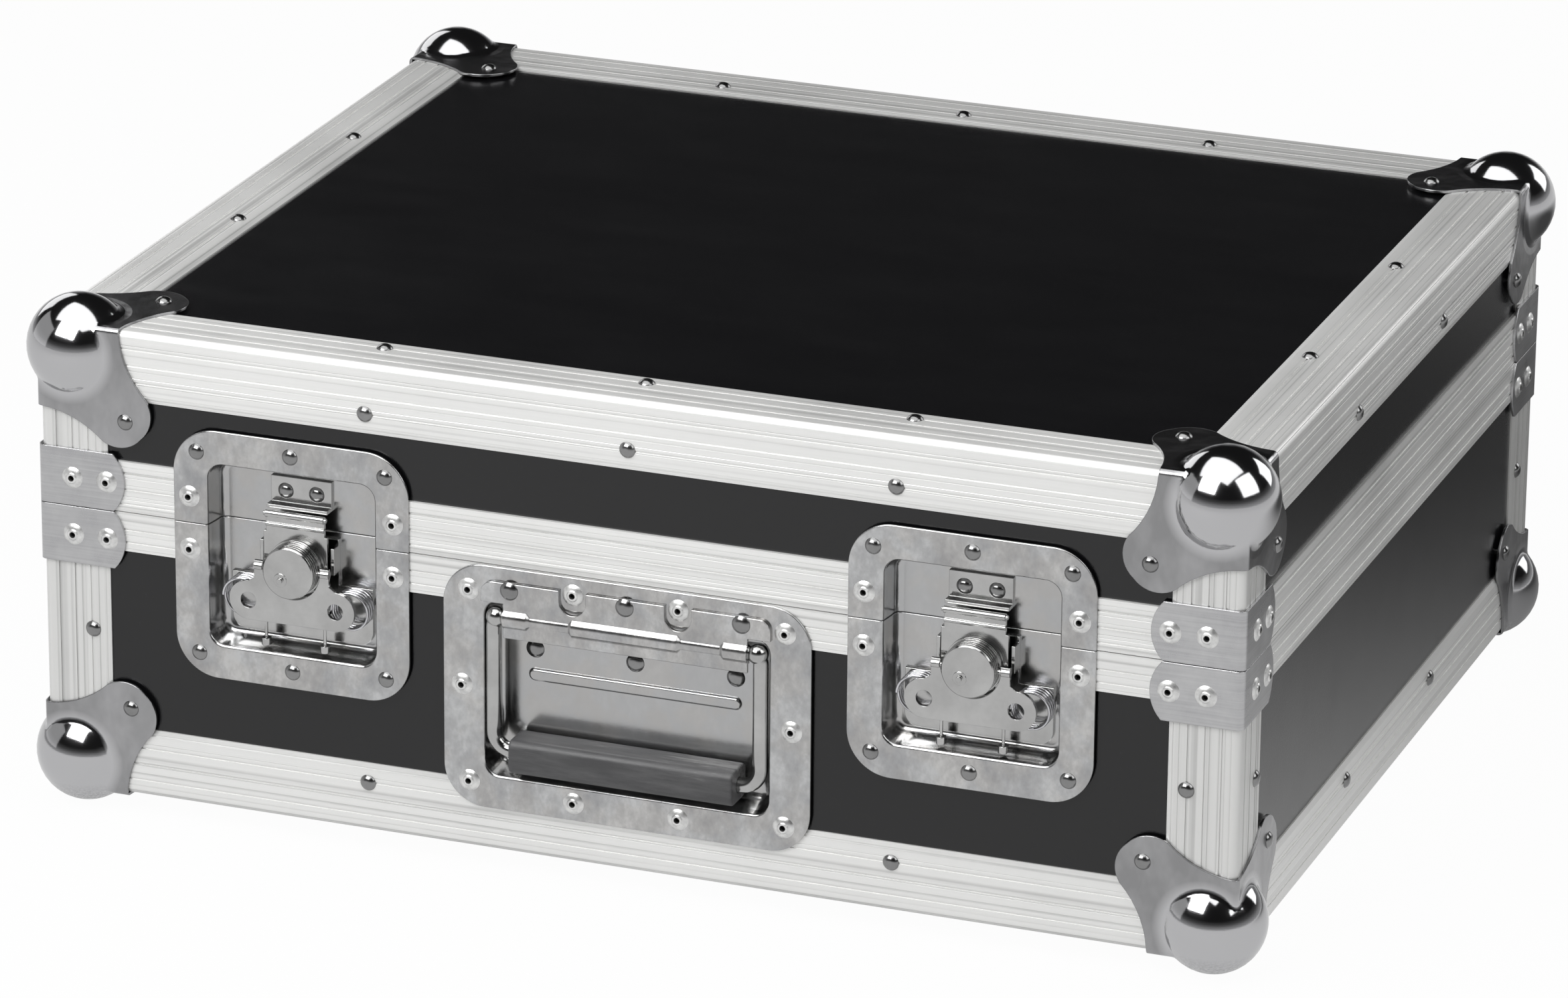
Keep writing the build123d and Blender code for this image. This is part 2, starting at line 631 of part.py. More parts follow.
# Ball corner, built with the case's corner at the origin and the case towards +X, +Y and +Z
with BuildPart() as corner_room:
    Box(LEAF_EDGE * 2, LEAF_EDGE * 2, LEAF_EDGE * 2, align=(Align.MIN, Align.MIN, Align.MIN))
    Box(CORNER_CROP, CORNER_CROP, CORNER_CROP, align=(Align.MIN, Align.MIN, Align.MIN), mode=Mode.SUBTRACT)

leaf_side = [LEAF_WAIST, LEAF_SHOULDER, LEAF_CHEEK]
with BuildPart() as ball_corner:
    for x_dir, z_dir in (((1, 0, 0), (0, 0, 1)), ((0, 1, 0), (1, 0, 0)), ((0, 0, 1), (0, 1, 0))):
        with BuildSketch(Plane(origin=(0, 0, 0), x_dir=x_dir, z_dir=z_dir)):
            with BuildLine():
                waist, shoulder, cheek = leaf_side
                Line((-LEAF_THICK, -LEAF_THICK), (LEAF_EDGE, -LEAF_THICK))
                Line((LEAF_EDGE, -LEAF_THICK), (LEAF_EDGE, 0))
                ThreePointArc((LEAF_EDGE, 0), waist, shoulder)
                ThreePointArc(shoulder, cheek, (LEAF_TIP, LEAF_TIP))
                ThreePointArc((LEAF_TIP, LEAF_TIP), cheek[::-1], shoulder[::-1])
                ThreePointArc(shoulder[::-1], waist[::-1], (0, LEAF_EDGE))
                Line((0, LEAF_EDGE), (-LEAF_THICK, LEAF_EDGE))
                Line((-LEAF_THICK, LEAF_EDGE), (-LEAF_THICK, -LEAF_THICK))
            make_face()
        extrude(amount=-LEAF_THICK)
    outer = [edge for edge in edges() if edge.center().X < 0 and edge.center().Y < 0]
    outer += [edge for edge in edges() if edge.center().X < 0 and edge.center().Z < 0]
    outer += [edge for edge in edges() if edge.center().Y < 0 and edge.center().Z < 0]
    fillet([edge for edge in outer if edge.length > LEAF_EDGE], LEAF_RADIUS)
    with Locations((BALL_INSET, BALL_INSET, BALL_INSET)):
        Sphere(BALL_RADIUS)
        Sphere(BALL_RADIUS - BALL_WALL, mode=Mode.SUBTRACT)
    add(corner_room.part, mode=Mode.SUBTRACT)
    fillet([edge for edge in edges() if on_ball(edge)], BALL_FILLET)


def at_corner(part, x, y, z):
    """A copy of a corner part at the case corner that lies outward along the given signs."""
    placed = part
    for sign, plane in ((x, Plane.YZ), (y, Plane.XZ), (z, Plane.XY)):
        if sign > 0:
            placed = placed.mirror(plane)
    height = TOP_Z if z > 0 else FOOT
    return placed.moved(Location((x * X_OUT, y * Y_OUT, height)))


for name, up, drill_piece in (("base", -1, drill_base), ("lid", 1, drill_lid)):
    with BuildPart() as ball_corners:
        for x in (-1, 1):
            for y in (-1, 1):
                add(at_corner(ball_corner.part, x, y, up))
        drill_piece()
    pieces[f"{name}_ball_corners"] = ball_corners


# Corner brace, built with the case's upright corner at the origin and the case towards +X and +Y
with BuildPart() as brace:
    for x_dir, z_dir in (((1, 0, 0), (0, -1, 0)), ((0, 1, 0), (1, 0, 0))):
        with BuildSketch(Plane(origin=(0, 0, 0), x_dir=x_dir, z_dir=z_dir)):
            with BuildLine():
                Line((-BRACE_THICK, 0), (BRACE_STRAIGHT, 0))
                ThreePointArc((BRACE_STRAIGHT, 0), (BRACE_LEG, BRACE_TALL / 2), (BRACE_STRAIGHT, BRACE_TALL))
                Line((BRACE_STRAIGHT, BRACE_TALL), (-BRACE_THICK, BRACE_TALL))
                Line((-BRACE_THICK, BRACE_TALL), (-BRACE_THICK, 0))
            make_face()
        extrude(amount=BRACE_THICK if z_dir[1] else -BRACE_THICK)
    upright = edges().filter_by(Axis.Z).sort_by_distance((-BRACE_THICK, -BRACE_THICK, BRACE_TALL / 2))[0]
    fillet(upright, BRACE_RADIUS)

for name, up, drill_piece in (("base", -1, drill_base), ("lid", 1, drill_lid)):
    with BuildPart() as braces:
        for x in (-1, 1):
            for y in (-1, 1):
                copy = brace.part.mirror(Plane.YZ) if x > 0 else brace.part
                copy = copy.mirror(Plane.XZ) if y > 0 else copy
                copy = copy.mirror(Plane.XY) if up < 0 else copy
                add(copy.moved(Location((x * X_OUT, y * Y_OUT, LID_BOTTOM if up > 0 else BASE_TOP))))
        drill_piece()
    pieces[f"{name}_corner_braces"] = braces


def pan(x, flange, flange_radius, opening, opening_radius, depth, taper, floor_radius):
    """A pressed dish: a flange on the wall's face and a tapered pan behind it.

    The flange and the opening are each given as a width, a low and a high edge."""
    flange_width, flange_low, flange_high = flange
    open_width, open_low, open_high = opening
    rim = FRONT.offset(DISH_SHEET)
    with BuildPart() as dish:
        with BuildSketch(FRONT):
            with Locations((x, (flange_low + flange_high) / 2)):
                RectangleRounded(flange_width, flange_high - flange_low, flange_radius)
        extrude(amount=DISH_SHEET)
        with BuildSketch(rim):
            with Locations((x, (open_low + open_high) / 2)):
                tall = open_high - open_low + DISH_SHEET * 2
                RectangleRounded(open_width + DISH_SHEET * 2, tall, opening_radius + DISH_SHEET)
        extrude(amount=-(depth + DISH_SHEET * 2), taper=taper)
        with BuildSketch(rim):
            with Locations((x, (open_low + open_high) / 2)):
                RectangleRounded(open_width, open_high - open_low, opening_radius)
        extrude(amount=-(depth + DISH_SHEET), taper=taper, mode=Mode.SUBTRACT)
        floor = faces().filter_by(Axis.Y).sort_by(Axis.Y)[-2]
        fillet(floor.edges(), floor_radius)
        face = faces().filter_by(Axis.Y).sort_by(Axis.Y)[0]
        fillet(face.inner_wires()[0].edges(), DISH_LIP_RADIUS)
        face = faces().filter_by(Axis.Y).sort_by(Axis.Y)[0]
        fillet(face.outer_wire().edges(), DISH_RIM_RADIUS)
    return dish


def latch_plane(x, depth):
    """A plane at a latch's knob axis, at a depth behind the aluminium face: x right, y up, z outward."""
    return Plane(origin=(x, -Y_OUT + depth, KNOB_Z), x_dir=(1, 0, 0), z_dir=(0, -1, 0))


def along_x(x, y, z):
    """A place whose own z runs along the case's x."""
    return Location((x, y, z), (0, 90, 0))


def helix_point(turn, centre, start_depth):
    """A point on the spring's centre line after a number of turns, and its direction there."""
    angle = 2 * pi * turn
    x, z = SPRING_RADIUS * cos(angle), SPRING_RADIUS * sin(angle)
    spot = Vector(centre[0] + x, -Y_OUT + start_depth - SPRING_PITCH * turn, centre[1] + z)
    rise = SPRING_PITCH / (2 * pi)
    return spot, Vector(-z, -rise, x).normalized()


def biarc(start, start_dir, end, end_dir):
    """Two arcs that join two points along the given directions; added to the current line."""
    chord = end - start
    total = start_dir + end_dir
    a = total.dot(total) - 4
    b = -2 * chord.dot(total)
    c = chord.dot(chord)
    reach = (-b - sqrt(b * b - 4 * a * c)) / (2 * a)
    first, last = start + start_dir * reach, end - end_dir * reach
    middle = (first + last) * 0.5
    TangentArc(start, middle, tangent=start_dir)
    TangentArc(middle, end, tangent=(last - first).normalized())


def coil_spring(x, z):
    """A close wound spring whose axis runs inward, standing on the latch frame."""
    start_depth = FRAME_FRONT - SPRING_SEAT_GAP - SPRING_WIRE / 2
    spots = [helix_point(quarter / 4, (x, z), start_depth) for quarter in range(SPRING_QUARTERS + 1)]
    with BuildPart() as spring:
        with BuildLine() as wire:
            for (start, start_dir), (end, end_dir) in zip(spots, spots[1:]):
                biarc(start, start_dir, end, end_dir)
        with BuildSketch(Plane(origin=spots[0][0], z_dir=spots[0][1])):
            Circle(SPRING_WIRE / 2)
        sweep(path=wire.wires()[0])
    return spring


def spring_gap(x, z):
    """The least gap between a spring's turns, measured on points of its centre line."""
    steps = 24
    count = SPRING_QUARTERS * steps // 4
    dots = [helix_point(step / steps, (x, z), FRAME_FRONT)[0] for step in range(count + 1)]
    near = steps // 2
    gaps = [(dots[i] - dots[j]).length for i in range(count + 1) for j in range(i + near, count + 1)]
    return min(gaps) - SPRING_WIRE


latch_flange = (LATCH_FLANGE_WIDTH, SEAM_Z - LATCH_FLANGE_BELOW, SEAM_Z + LATCH_FLANGE_ABOVE)
latch_opening = (LATCH_OPEN_WIDTH, SEAM_Z - LATCH_OPEN_BELOW, SEAM_Z + LATCH_OPEN_ABOVE)
spring_coils = []
for name, x in SIDES.items():
    whole_dish = pan(
        x, latch_flange, LATCH_FLANGE_RADIUS, latch_opening, LATCH_OPEN_RADIUS,
        LATCH_DEPTH, LATCH_TAPER, LATCH_FLOOR_RADIUS,
    )
    with BuildPart() as lid_dish:
        add(whole_dish.part)
        split(bisect_by=Plane.XY.offset(LID_BOTTOM), keep=Keep.TOP)
        drill_lid(FRONT)
        drill(strike_domes, DOME_SHANK)
    with BuildPart() as base_dish:
        add(whole_dish.part)
        split(bisect_by=Plane.XY.offset(BASE_TOP), keep=Keep.BOTTOM)
        drill_base(FRONT)

    # The strike's lip ends just behind the claw, which passes in front of it
    with BuildPart() as strike:
        with BuildSketch(FRONT.offset(-LATCH_DEPTH)):
            with Locations((x, SEAM_Z + (STRIKE_LOW + STRIKE_HIGH) / 2)):
                Rectangle(STRIKE_WIDTH, STRIKE_HIGH - STRIKE_LOW)
        extrude(amount=STRIKE_SHEET)
        with BuildSketch(FRONT.offset(-LATCH_DEPTH)):
            with Locations((x, SEAM_Z + STRIKE_LOW + STRIKE_SHEET / 2)):
                Rectangle(STRIKE_WIDTH, STRIKE_SHEET)
        extrude(amount=LATCH_DEPTH - CLAW_BACK - STRIKE_CLEAR)
        drill(strike_domes, DOME_SHANK)

    ear_x = CLAW_LOWER_WIDTH / 2 + FRAME_EAR_GAP + FRAME_SHEET / 2
    frame_half = ear_x + FRAME_SHEET / 2
    with BuildPart() as frame:
        with BuildSketch(latch_plane(x, LATCH_DEPTH)):
            with Locations((0, (FRAME_SHELF_TOP - FRAME_BOTTOM) / 2)):
                Rectangle(FRAME_SHELF_HALF_WIDTH * 2, FRAME_SHELF_TOP + FRAME_BOTTOM)
            fillet(vertices().group_by(Axis.Y)[0], FRAME_SHELF_RADIUS)
            with Locations((0, (FRAME_TOP - FRAME_BOTTOM) / 2)):
                Rectangle(frame_half * 2, FRAME_TOP + FRAME_BOTTOM)
            Circle(SPINDLE_RADIUS + RUNNING_CLEAR, mode=Mode.SUBTRACT)
        extrude(amount=FRAME_SHEET)
        with BuildSketch(latch_plane(x, LATCH_DEPTH)):
            with Locations(*both_sides(ear_x, (FRAME_EAR_LOW + FRAME_EAR_HIGH) / 2)):
                Rectangle(FRAME_SHEET, FRAME_EAR_HIGH - FRAME_EAR_LOW)
        extrude(amount=FRAME_SHEET + FRAME_EAR_TALL)
        # Two rods with nuts hang in front of the plate, each from its own lug
        with BuildSketch(latch_plane(x, LATCH_DEPTH)):
            with Locations(*both_sides(ROD_X, -ROD_HIGH)):
                Rectangle(ROD_RADIUS * 2, ROD_LUG_TALL)
        extrude(amount=LATCH_DEPTH - ROD_DEPTH + ROD_RADIUS)
        for side in (-1, 1):
            with Locations((x + side * ROD_X, ROD_DEPTH - Y_OUT, KNOB_Z - (ROD_HIGH + ROD_LOW) / 2)):
                Cylinder(ROD_RADIUS, ROD_LOW - ROD_HIGH)
            with Locations((x + side * ROD_X, ROD_DEPTH - Y_OUT, KNOB_Z + ROD_NUT_TALL / 2 - ROD_LOW)):
                Cylinder(ROD_NUT_RADIUS, ROD_NUT_TALL)

    with BuildPart() as claw:
        window_half = ECCENTRIC_RADIUS + CLAW_LIFT / 2 + ECCENTRIC_PLAY
        window_tall = (ECCENTRIC_RADIUS + ECCENTRIC_PLAY) * 2
        claw_low = -(CLAW_LIFT + window_tall) / 2 - CLAW_HEM
        with BuildSketch(latch_plane(x, CLAW_BACK)):
            with Locations((0, (claw_low + CLAW_RISE) / 2)):
                Rectangle(CLAW_WIDTH, CLAW_RISE - claw_low)
            with Locations((0, (claw_low + CLAW_STEP_RISE) / 2)):
                Rectangle(CLAW_LOWER_WIDTH, CLAW_STEP_RISE - claw_low)
            fillet(vertices().group_by(Axis.Y)[0], CLAW_CORNER)
            with Locations((0, -CLAW_LIFT / 2)):
                Rectangle(window_half * 2, window_tall, mode=Mode.SUBTRACT)
        extrude(amount=CLAW_SHEET)
        bead_y = CLAW_BACK - CLAW_BEAD_RADIUS - Y_OUT
        with Locations(along_x(x, bead_y, KNOB_Z + CLAW_RISE)):
            Cylinder(CLAW_BEAD_RADIUS, CLAW_WIDTH)
            Cylinder(CLAW_PIN_RADIUS, CLAW_WIDTH + CLAW_PIN_OUT * 2)
        with Locations(along_x(x, CLAW_FRONT - Y_OUT, KNOB_Z + CLAW_RISE - CLAW_RIDGE_DROP)):
            Cylinder(CLAW_RIDGE_RADIUS, CLAW_WIDTH)

    with BuildPart() as knob:
        with BuildSketch(latch_plane(x, KNOB_BACK)):
            Circle(KNOB_RADIUS)
        extrude(amount=KNOB_TALL)
        chamfer(faces().sort_by(Axis.Y)[0].edges(), KNOB_CHAMFER)
        for share in KNOB_GROOVE_SHARES:
            with BuildSketch(latch_plane(x, KNOB_BACK - KNOB_TALL * share)):
                Circle(KNOB_RADIUS + OVERRUN)
                Circle(KNOB_RADIUS - KNOB_GROOVE, mode=Mode.SUBTRACT)
            extrude(amount=KNOB_GROOVE_WIDTH, mode=Mode.SUBTRACT)
        with BuildSketch(latch_plane(x, RING_BACK)):
            Circle(KNOB_RING_RADIUS)
        extrude(amount=KNOB_RING_THICK)
        with BuildSketch(latch_plane(x, CLAW_BACK)):
            with Locations((0, -CLAW_LIFT / 2)):
                Circle(ECCENTRIC_RADIUS)
        extrude(amount=CLAW_SHEET)
        with BuildSketch(latch_plane(x, LATCH_DEPTH - SPINDLE_END_GAP)):
            Circle(SPINDLE_RADIUS)
        extrude(amount=LATCH_DEPTH - SPINDLE_END_GAP - KNOB_BACK)
        with BuildSketch(latch_plane(x, KNOB_FRONT)):
            with Locations((-KNOB_STUD_OFFSET, -KNOB_STUD_OFFSET)):
                Circle(KNOB_STUD_RADIUS)
        extrude(amount=KNOB_STUD_TALL)
        with BuildSketch(latch_plane(x, KNOB_FRONT)):
            with Locations((-KNOB_STUD_OFFSET, -KNOB_STUD_OFFSET)):
                Circle(KNOB_STUD_TIP)
        extrude(amount=KNOB_STUD_TALL + KNOB_STUD_TIP)
        pin_length = WING_CUT_RADIUS + WING_ARM_WIDTH - KNOB_RADIUS + WING_PIN_ROOT
        pin_middle = KNOB_RADIUS - WING_PIN_ROOT + pin_length / 2
        for side in (-1, 1):
            with Locations(along_x(x + side * pin_middle, -Y_OUT + WING_AXIS, KNOB_Z)):
                Cylinder(WING_PIN_RADIUS, pin_length)

    arm_end = WING_CUT_RADIUS + WING_ARM_WIDTH
    with BuildPart() as wing:
        with BuildSketch(latch_plane(x, WING_FRONT + WING_SHEET)):
            lobes = both_sides(WING_LOBE_X, -WING_LOBE_DROP)
            right_side = [
                (arm_end, WING_HORN),
                (arm_end, -WING_SHOULDER_DROP),
                (WING_LOBE_X, WING_LOBE_RADIUS - WING_LOBE_DROP),
                (WING_LOBE_X, -WING_LOBE_DROP - WING_LOBE_RADIUS),
            ]
            Polygon(*right_side, *[(-u, v) for u, v in reversed(right_side)], align=None)
            with Locations(*lobes):
                Circle(WING_LOBE_RADIUS)
                Circle(WING_HOLE_RADIUS, mode=Mode.SUBTRACT)
            Circle(WING_CUT_RADIUS, mode=Mode.SUBTRACT)
            with Locations((0, WING_HORN / 2)):
                Rectangle(WING_CUT_RADIUS * 2, WING_HORN, mode=Mode.SUBTRACT)
        extrude(amount=WING_SHEET)
        for side in (-1, 1):
            barrel_length = WING_ARM_WIDTH - WING_BARREL_GAP
            barrel_middle = x + side * (arm_end - barrel_length / 2)
            with Locations(along_x(barrel_middle, -Y_OUT + WING_AXIS, KNOB_Z)):
                Cylinder(WING_BARREL_RADIUS, barrel_length)
        with Locations(along_x(x, -Y_OUT + WING_AXIS, KNOB_Z)):
            Cylinder(WING_PIN_RADIUS + RUNNING_CLEAR, (arm_end + OVERRUN) * 2, mode=Mode.SUBTRACT)

    spring_coils += [coil_spring(x + side * SPRING_X, KNOB_Z - SPRING_DROP) for side in (-1, 1)]
    pieces[f"{name}_lid_latch_dish"] = lid_dish
    pieces[f"{name}_base_latch_dish"] = base_dish
    pieces[f"{name}_latch_strike"] = strike
    pieces[f"{name}_latch_frame"] = frame
    pieces[f"{name}_latch_claw"] = claw
    pieces[f"{name}_latch_knob"] = knob
    pieces[f"{name}_latch_wing"] = wing

print("least gap between the spring's turns, mm:", round(spring_gap(0, 0), 3))
with BuildPart() as latch_springs:
    for coil in spring_coils:
        add(coil.part)
pieces["latch_springs"] = latch_springs

# Handle
handle_flange = (HANDLE_HALF * 2, HANDLE_LOW, HANDLE_HIGH)
handle_opening = (HANDLE_OPEN_HALF * 2, HANDLE_OPEN_LOW, HANDLE_OPEN_HIGH)
whole_dish = pan(
    0, handle_flange, HANDLE_FLANGE_RADIUS, handle_opening, HANDLE_OPEN_RADIUS,
    HANDLE_DEPTH, HANDLE_TAPER, HANDLE_FLOOR_RADIUS,
)
with BuildPart() as bead:
    with BuildSketch(FRONT.offset(-HANDLE_DEPTH)):
        with Locations((0, HANDLE_OPEN_HIGH - BEAD_DROP)):
            SlotOverall((HANDLE_OPEN_HALF - BEAD_END_INSET) * 2, BEAD_WIDTH)
    extrude(amount=BEAD_TALL)
    fillet(faces().sort_by(Axis.Y)[0].edges(), BEAD_RADIUS)
with BuildPart() as handle_dish:
    add(whole_dish.part)
    add(bead.part)
    drill_base(FRONT)
    drill(floor_domes, DOME_SHANK)
pieces["handle_dish"] = handle_dish

# Bracket plate with a rolled lower edge; its two end rolls carry the bail
channel_radius = BAIL_RADIUS + RUNNING_CLEAR
roll_radius = channel_radius + CHANNEL_WALL
channel_start = BRACKET_LOWER_HALF - CHANNEL_LENGTH
roll_side = [
    (CENTRE_ROLL_HALF, roll_radius),
    (CENTRE_ROLL_HALF + ROLL_TAPER, RIDGE_RADIUS),
    (channel_start - ROLL_TAPER, RIDGE_RADIUS),
    (channel_start, roll_radius),
    (BRACKET_LOWER_HALF, roll_radius),
    (BRACKET_LOWER_HALF, 0),
]
with BuildSketch(FRONT.offset(DISH_SHEET)) as bracket_band:
    with Locations((0, (HANDLE_OPEN_HIGH + BRACKET_HIGH) / 2)):
        Rectangle((HANDLE_OPEN_HALF + BRACKET_OVERLAP) * 2, BRACKET_HIGH - HANDLE_OPEN_HIGH)
    fillet(vertices().group_by(Axis.Y)[-1], BRACKET_CORNER)
with BuildPart() as bracket:
    with BuildSketch(FRONT.offset(DISH_SHEET)):
        add(bracket_band.sketch_local)
        with Locations((0, (BRACKET_LOW + HANDLE_OPEN_HIGH) / 2)):
            Rectangle(BRACKET_LOWER_HALF * 2, HANDLE_OPEN_HIGH - BRACKET_LOW)
        with Locations(*both_sides(HANDLE_INNER_RIVET_X, HANDLE_HIGH - NOTCH_DROP)):
            Circle(NOTCH_RADIUS, mode=Mode.SUBTRACT)
            notch_open = (Align.CENTER, Align.MIN)
            Rectangle(NOTCH_RADIUS * 2, HANDLE_DEPTH, align=notch_open, mode=Mode.SUBTRACT)
    extrude(amount=BRACKET_SHEET)
    with BuildSketch(Plane(origin=(0, -Y_OUT, BAIL_Z), z_dir=(0, -1, 0), x_dir=(1, 0, 0))):
        Polygon(*roll_side, *[(-u, v) for u, v in reversed(roll_side)], align=None)
    revolve(axis=Axis((0, -Y_OUT, BAIL_Z), (1, 0, 0)))
    for side in (-1, 1):
        with Locations(along_x(side * (BRACKET_LOWER_HALF - CHANNEL_LENGTH / 2), -Y_OUT, BAIL_Z)):
            Cylinder(channel_radius, CHANNEL_LENGTH, mode=Mode.SUBTRACT)
    split(bisect_by=FRONT, keep=Keep.TOP)
    drill(bracket_domes, DOME_SHANK)
pieces["handle_bracket"] = bracket

with BuildPart() as bail:
    with BuildLine(FRONT) as bail_path:
        FilletPolyline(
            (BAIL_STUB_LENGTH - BAIL_HALF_WIDTH, BAIL_Z),
            (-BAIL_HALF_WIDTH, BAIL_Z),
            (-BAIL_HALF_WIDTH, GRIP_Z),
            (BAIL_HALF_WIDTH, GRIP_Z),
            (BAIL_HALF_WIDTH, BAIL_Z),
            (BAIL_HALF_WIDTH - BAIL_STUB_LENGTH, BAIL_Z),
            radius=[BAIL_TOP_BEND, BAIL_BOTTOM_BEND, BAIL_BOTTOM_BEND, BAIL_TOP_BEND],
        )
    stub_end = (BAIL_STUB_LENGTH - BAIL_HALF_WIDTH, -Y_OUT, BAIL_Z)
    with BuildSketch(Plane(origin=stub_end, z_dir=(-1, 0, 0))):
        Circle(BAIL_RADIUS)
    sweep(path=bail_path.wires()[0])
    boss_x = BAIL_HALF_WIDTH + BAIL_RADIUS - BAIL_BOSS_RADIUS
    with Locations((-boss_x, -Y_OUT, BAIL_Z), (boss_x, -Y_OUT, BAIL_Z)):
        Sphere(BAIL_BOSS_RADIUS)
pieces["handle_bail"] = bail

grip_length = (BAIL_HALF_WIDTH - GRIP_INSET) * 2
with BuildPart() as grip:
    with BuildSketch(Plane(origin=(-grip_length / 2, -Y_OUT, GRIP_Z), x_dir=(0, 1, 0), z_dir=(1, 0, 0))):
        RectangleRounded(GRIP_DEEP, GRIP_THICK, GRIP_CORNER)
    extrude(amount=grip_length)
    fillet(edges().group_by(Axis.X)[0] + edges().group_by(Axis.X)[-1], GRIP_EDGE)
    with Locations(along_x(0, -Y_OUT, GRIP_Z)):
        Cylinder(BAIL_RADIUS + SHANK_CLEAR, grip_length, mode=Mode.SUBTRACT)
pieces["handle_grip"] = grip


# Hinges
def knuckle_spans(x):
    """The three knuckles of a hinge: each one's middle and length."""
    start = x - HINGE_WIDTH / 2
    spans = []
    for share in KNUCKLE_SHARES:
        length = HINGE_WIDTH * share
        spans.append((start + length / 2, length - KNUCKLE_SIDE_GAP))
        start += length
    return spans


def hinge_leaves(up):
    """One leaf of each hinge: the base's has the outer knuckles, the lid's the middle one."""
    height = LID_BOTTOM if up > 0 else BASE_TOP
    middle = height + up * HINGE_LEAF_TALL / 2
    with BuildPart() as leaves:
        for hinge_x in (-HINGE_X, HINGE_X):
            spans = knuckle_spans(hinge_x)
            own, other = (spans[1:2], spans[::2]) if up > 0 else (spans[::2], spans[1:2])
            with BuildSketch(BACK):
                with Locations((-hinge_x, middle)):
                    Rectangle(HINGE_WIDTH, HINGE_LEAF_TALL)
                far = vertices().group_by(Axis.Y)[-1 if up > 0 else 0]
                fillet(far, HINGE_LEAF_RADIUS)
                for spot, length in other:
                    with Locations((-spot, SEAM_Z)):
                        Rectangle(length + KNUCKLE_SIDE_GAP * 2, KNUCKLE_CUTBACK * 2, mode=Mode.SUBTRACT)
            extrude(amount=HINGE_LEAF_THICK)
            for spot, length in own:
                with Locations(along_x(spot, HINGE_Y, SEAM_Z)):
                    Cylinder(KNUCKLE_RADIUS, length)
            with Locations(along_x(hinge_x, HINGE_Y, SEAM_Z)):
                Cylinder(PIN_RADIUS + RUNNING_CLEAR, HINGE_WIDTH, mode=Mode.SUBTRACT)
        if up > 0:
            drill_lid(BACK)
        else:
            drill_base(BACK)
    return leaves


pieces["hinge_base_leaves"] = hinge_leaves(-1)
pieces["hinge_lid_leaves"] = hinge_leaves(1)
with BuildPart() as hinge_pins:
    for hinge_x in (-HINGE_X, HINGE_X):
        with Locations(along_x(hinge_x, HINGE_Y, SEAM_Z)):
            Cylinder(PIN_RADIUS, HINGE_WIDTH)
        for side in (-1, 1):
            head = hinge_x + side * (HINGE_WIDTH + PIN_HEAD_THICK) / 2
            with Locations(along_x(head, HINGE_Y, SEAM_Z)):
                Cylinder(PIN_HEAD_RADIUS, PIN_HEAD_THICK)
pieces["hinge_pins"] = hinge_pins


def foam_block(low, high, pad_low, pad_high):
    """A lining between two heights, with the turntable's space cut out above or below its pad."""
    margin = PANEL_STOP + FOAM_CLEAR
    with BuildPart() as foam:
        with BuildSketch(Plane.XY.offset(low)):
            Rectangle(CASE_WIDTH - margin * 2, CASE_DEPTH - margin * 2)
        extrude(amount=high - low)
        with BuildSketch(Plane.XY.offset(pad_low)):
            bed_width = CASE_WIDTH - (PANEL_STOP + FOAM_CLEAR + FOAM_SIDE_WALL) * 2
            bed_depth = CASE_DEPTH - (PANEL_STOP + FOAM_CLEAR + FOAM_FRONT_WALL) * 2
            RectangleRounded(bed_width, bed_depth, BED_RADIUS)
        extrude(amount=pad_high - pad_low, mode=Mode.SUBTRACT)
        with BuildSketch(FRONT) as pans:
            latch_holes()
        extrude(pans.sketch, amount=-(LATCH_DEPTH + DISH_SHEET + PAN_POCKET), mode=Mode.SUBTRACT)
        with BuildSketch(FRONT) as pans:
            handle_hole()
        extrude(pans.sketch, amount=-(HANDLE_DEPTH + DISH_SHEET + PAN_POCKET), mode=Mode.SUBTRACT)
    return foam


base_floor = FOOT + PANEL_STOP + FOAM_CLEAR
lid_ceiling = TOP_Z - PANEL_STOP - FOAM_CLEAR
pieces["base_foam"] = foam_block(base_floor, BASE_TOP, base_floor + BASE_PAD, BASE_TOP)
pieces["lid_foam"] = foam_block(LID_BOTTOM, lid_ceiling, LID_BOTTOM, lid_ceiling - LID_PAD)


# Rivets: a head on its seat and a shank down to the panels' inner faces
def dome_head(radius, tall):
    """A domed rivet head on the ground plane."""
    with BuildPart() as head:
        with BuildSketch(Plane.XZ):
            with BuildLine():
                rise = tall * (2 - sqrt(2))
                ThreePointArc((0, tall), (radius / sqrt(2), tall - rise / 2), (radius, 0))
                Line((radius, 0), (0, 0))
                Line((0, 0), (0, tall))
            make_face()
        revolve(axis=Axis.Z)
    return head.part


with BuildPart() as pop_head:
    with BuildSketch(Plane.XZ):
        with BuildLine():
            shoulder = POP_TALL - POP_COLLAR_TALL
            collar_top = (POP_COLLAR - POP_COLLAR_TALL, POP_TALL)
            Polyline((0, 0), (0, POP_TALL), collar_top, (POP_COLLAR, shoulder))
            rise = shoulder * (2 - sqrt(2)) / 2
            slope = ((POP_COLLAR + POP_RADIUS) / 2, shoulder - rise)
            ThreePointArc((POP_COLLAR, shoulder), slope, (POP_RADIUS, 0))
            Line((POP_RADIUS, 0), (0, 0))
        make_face()
    revolve(axis=Axis.Z)


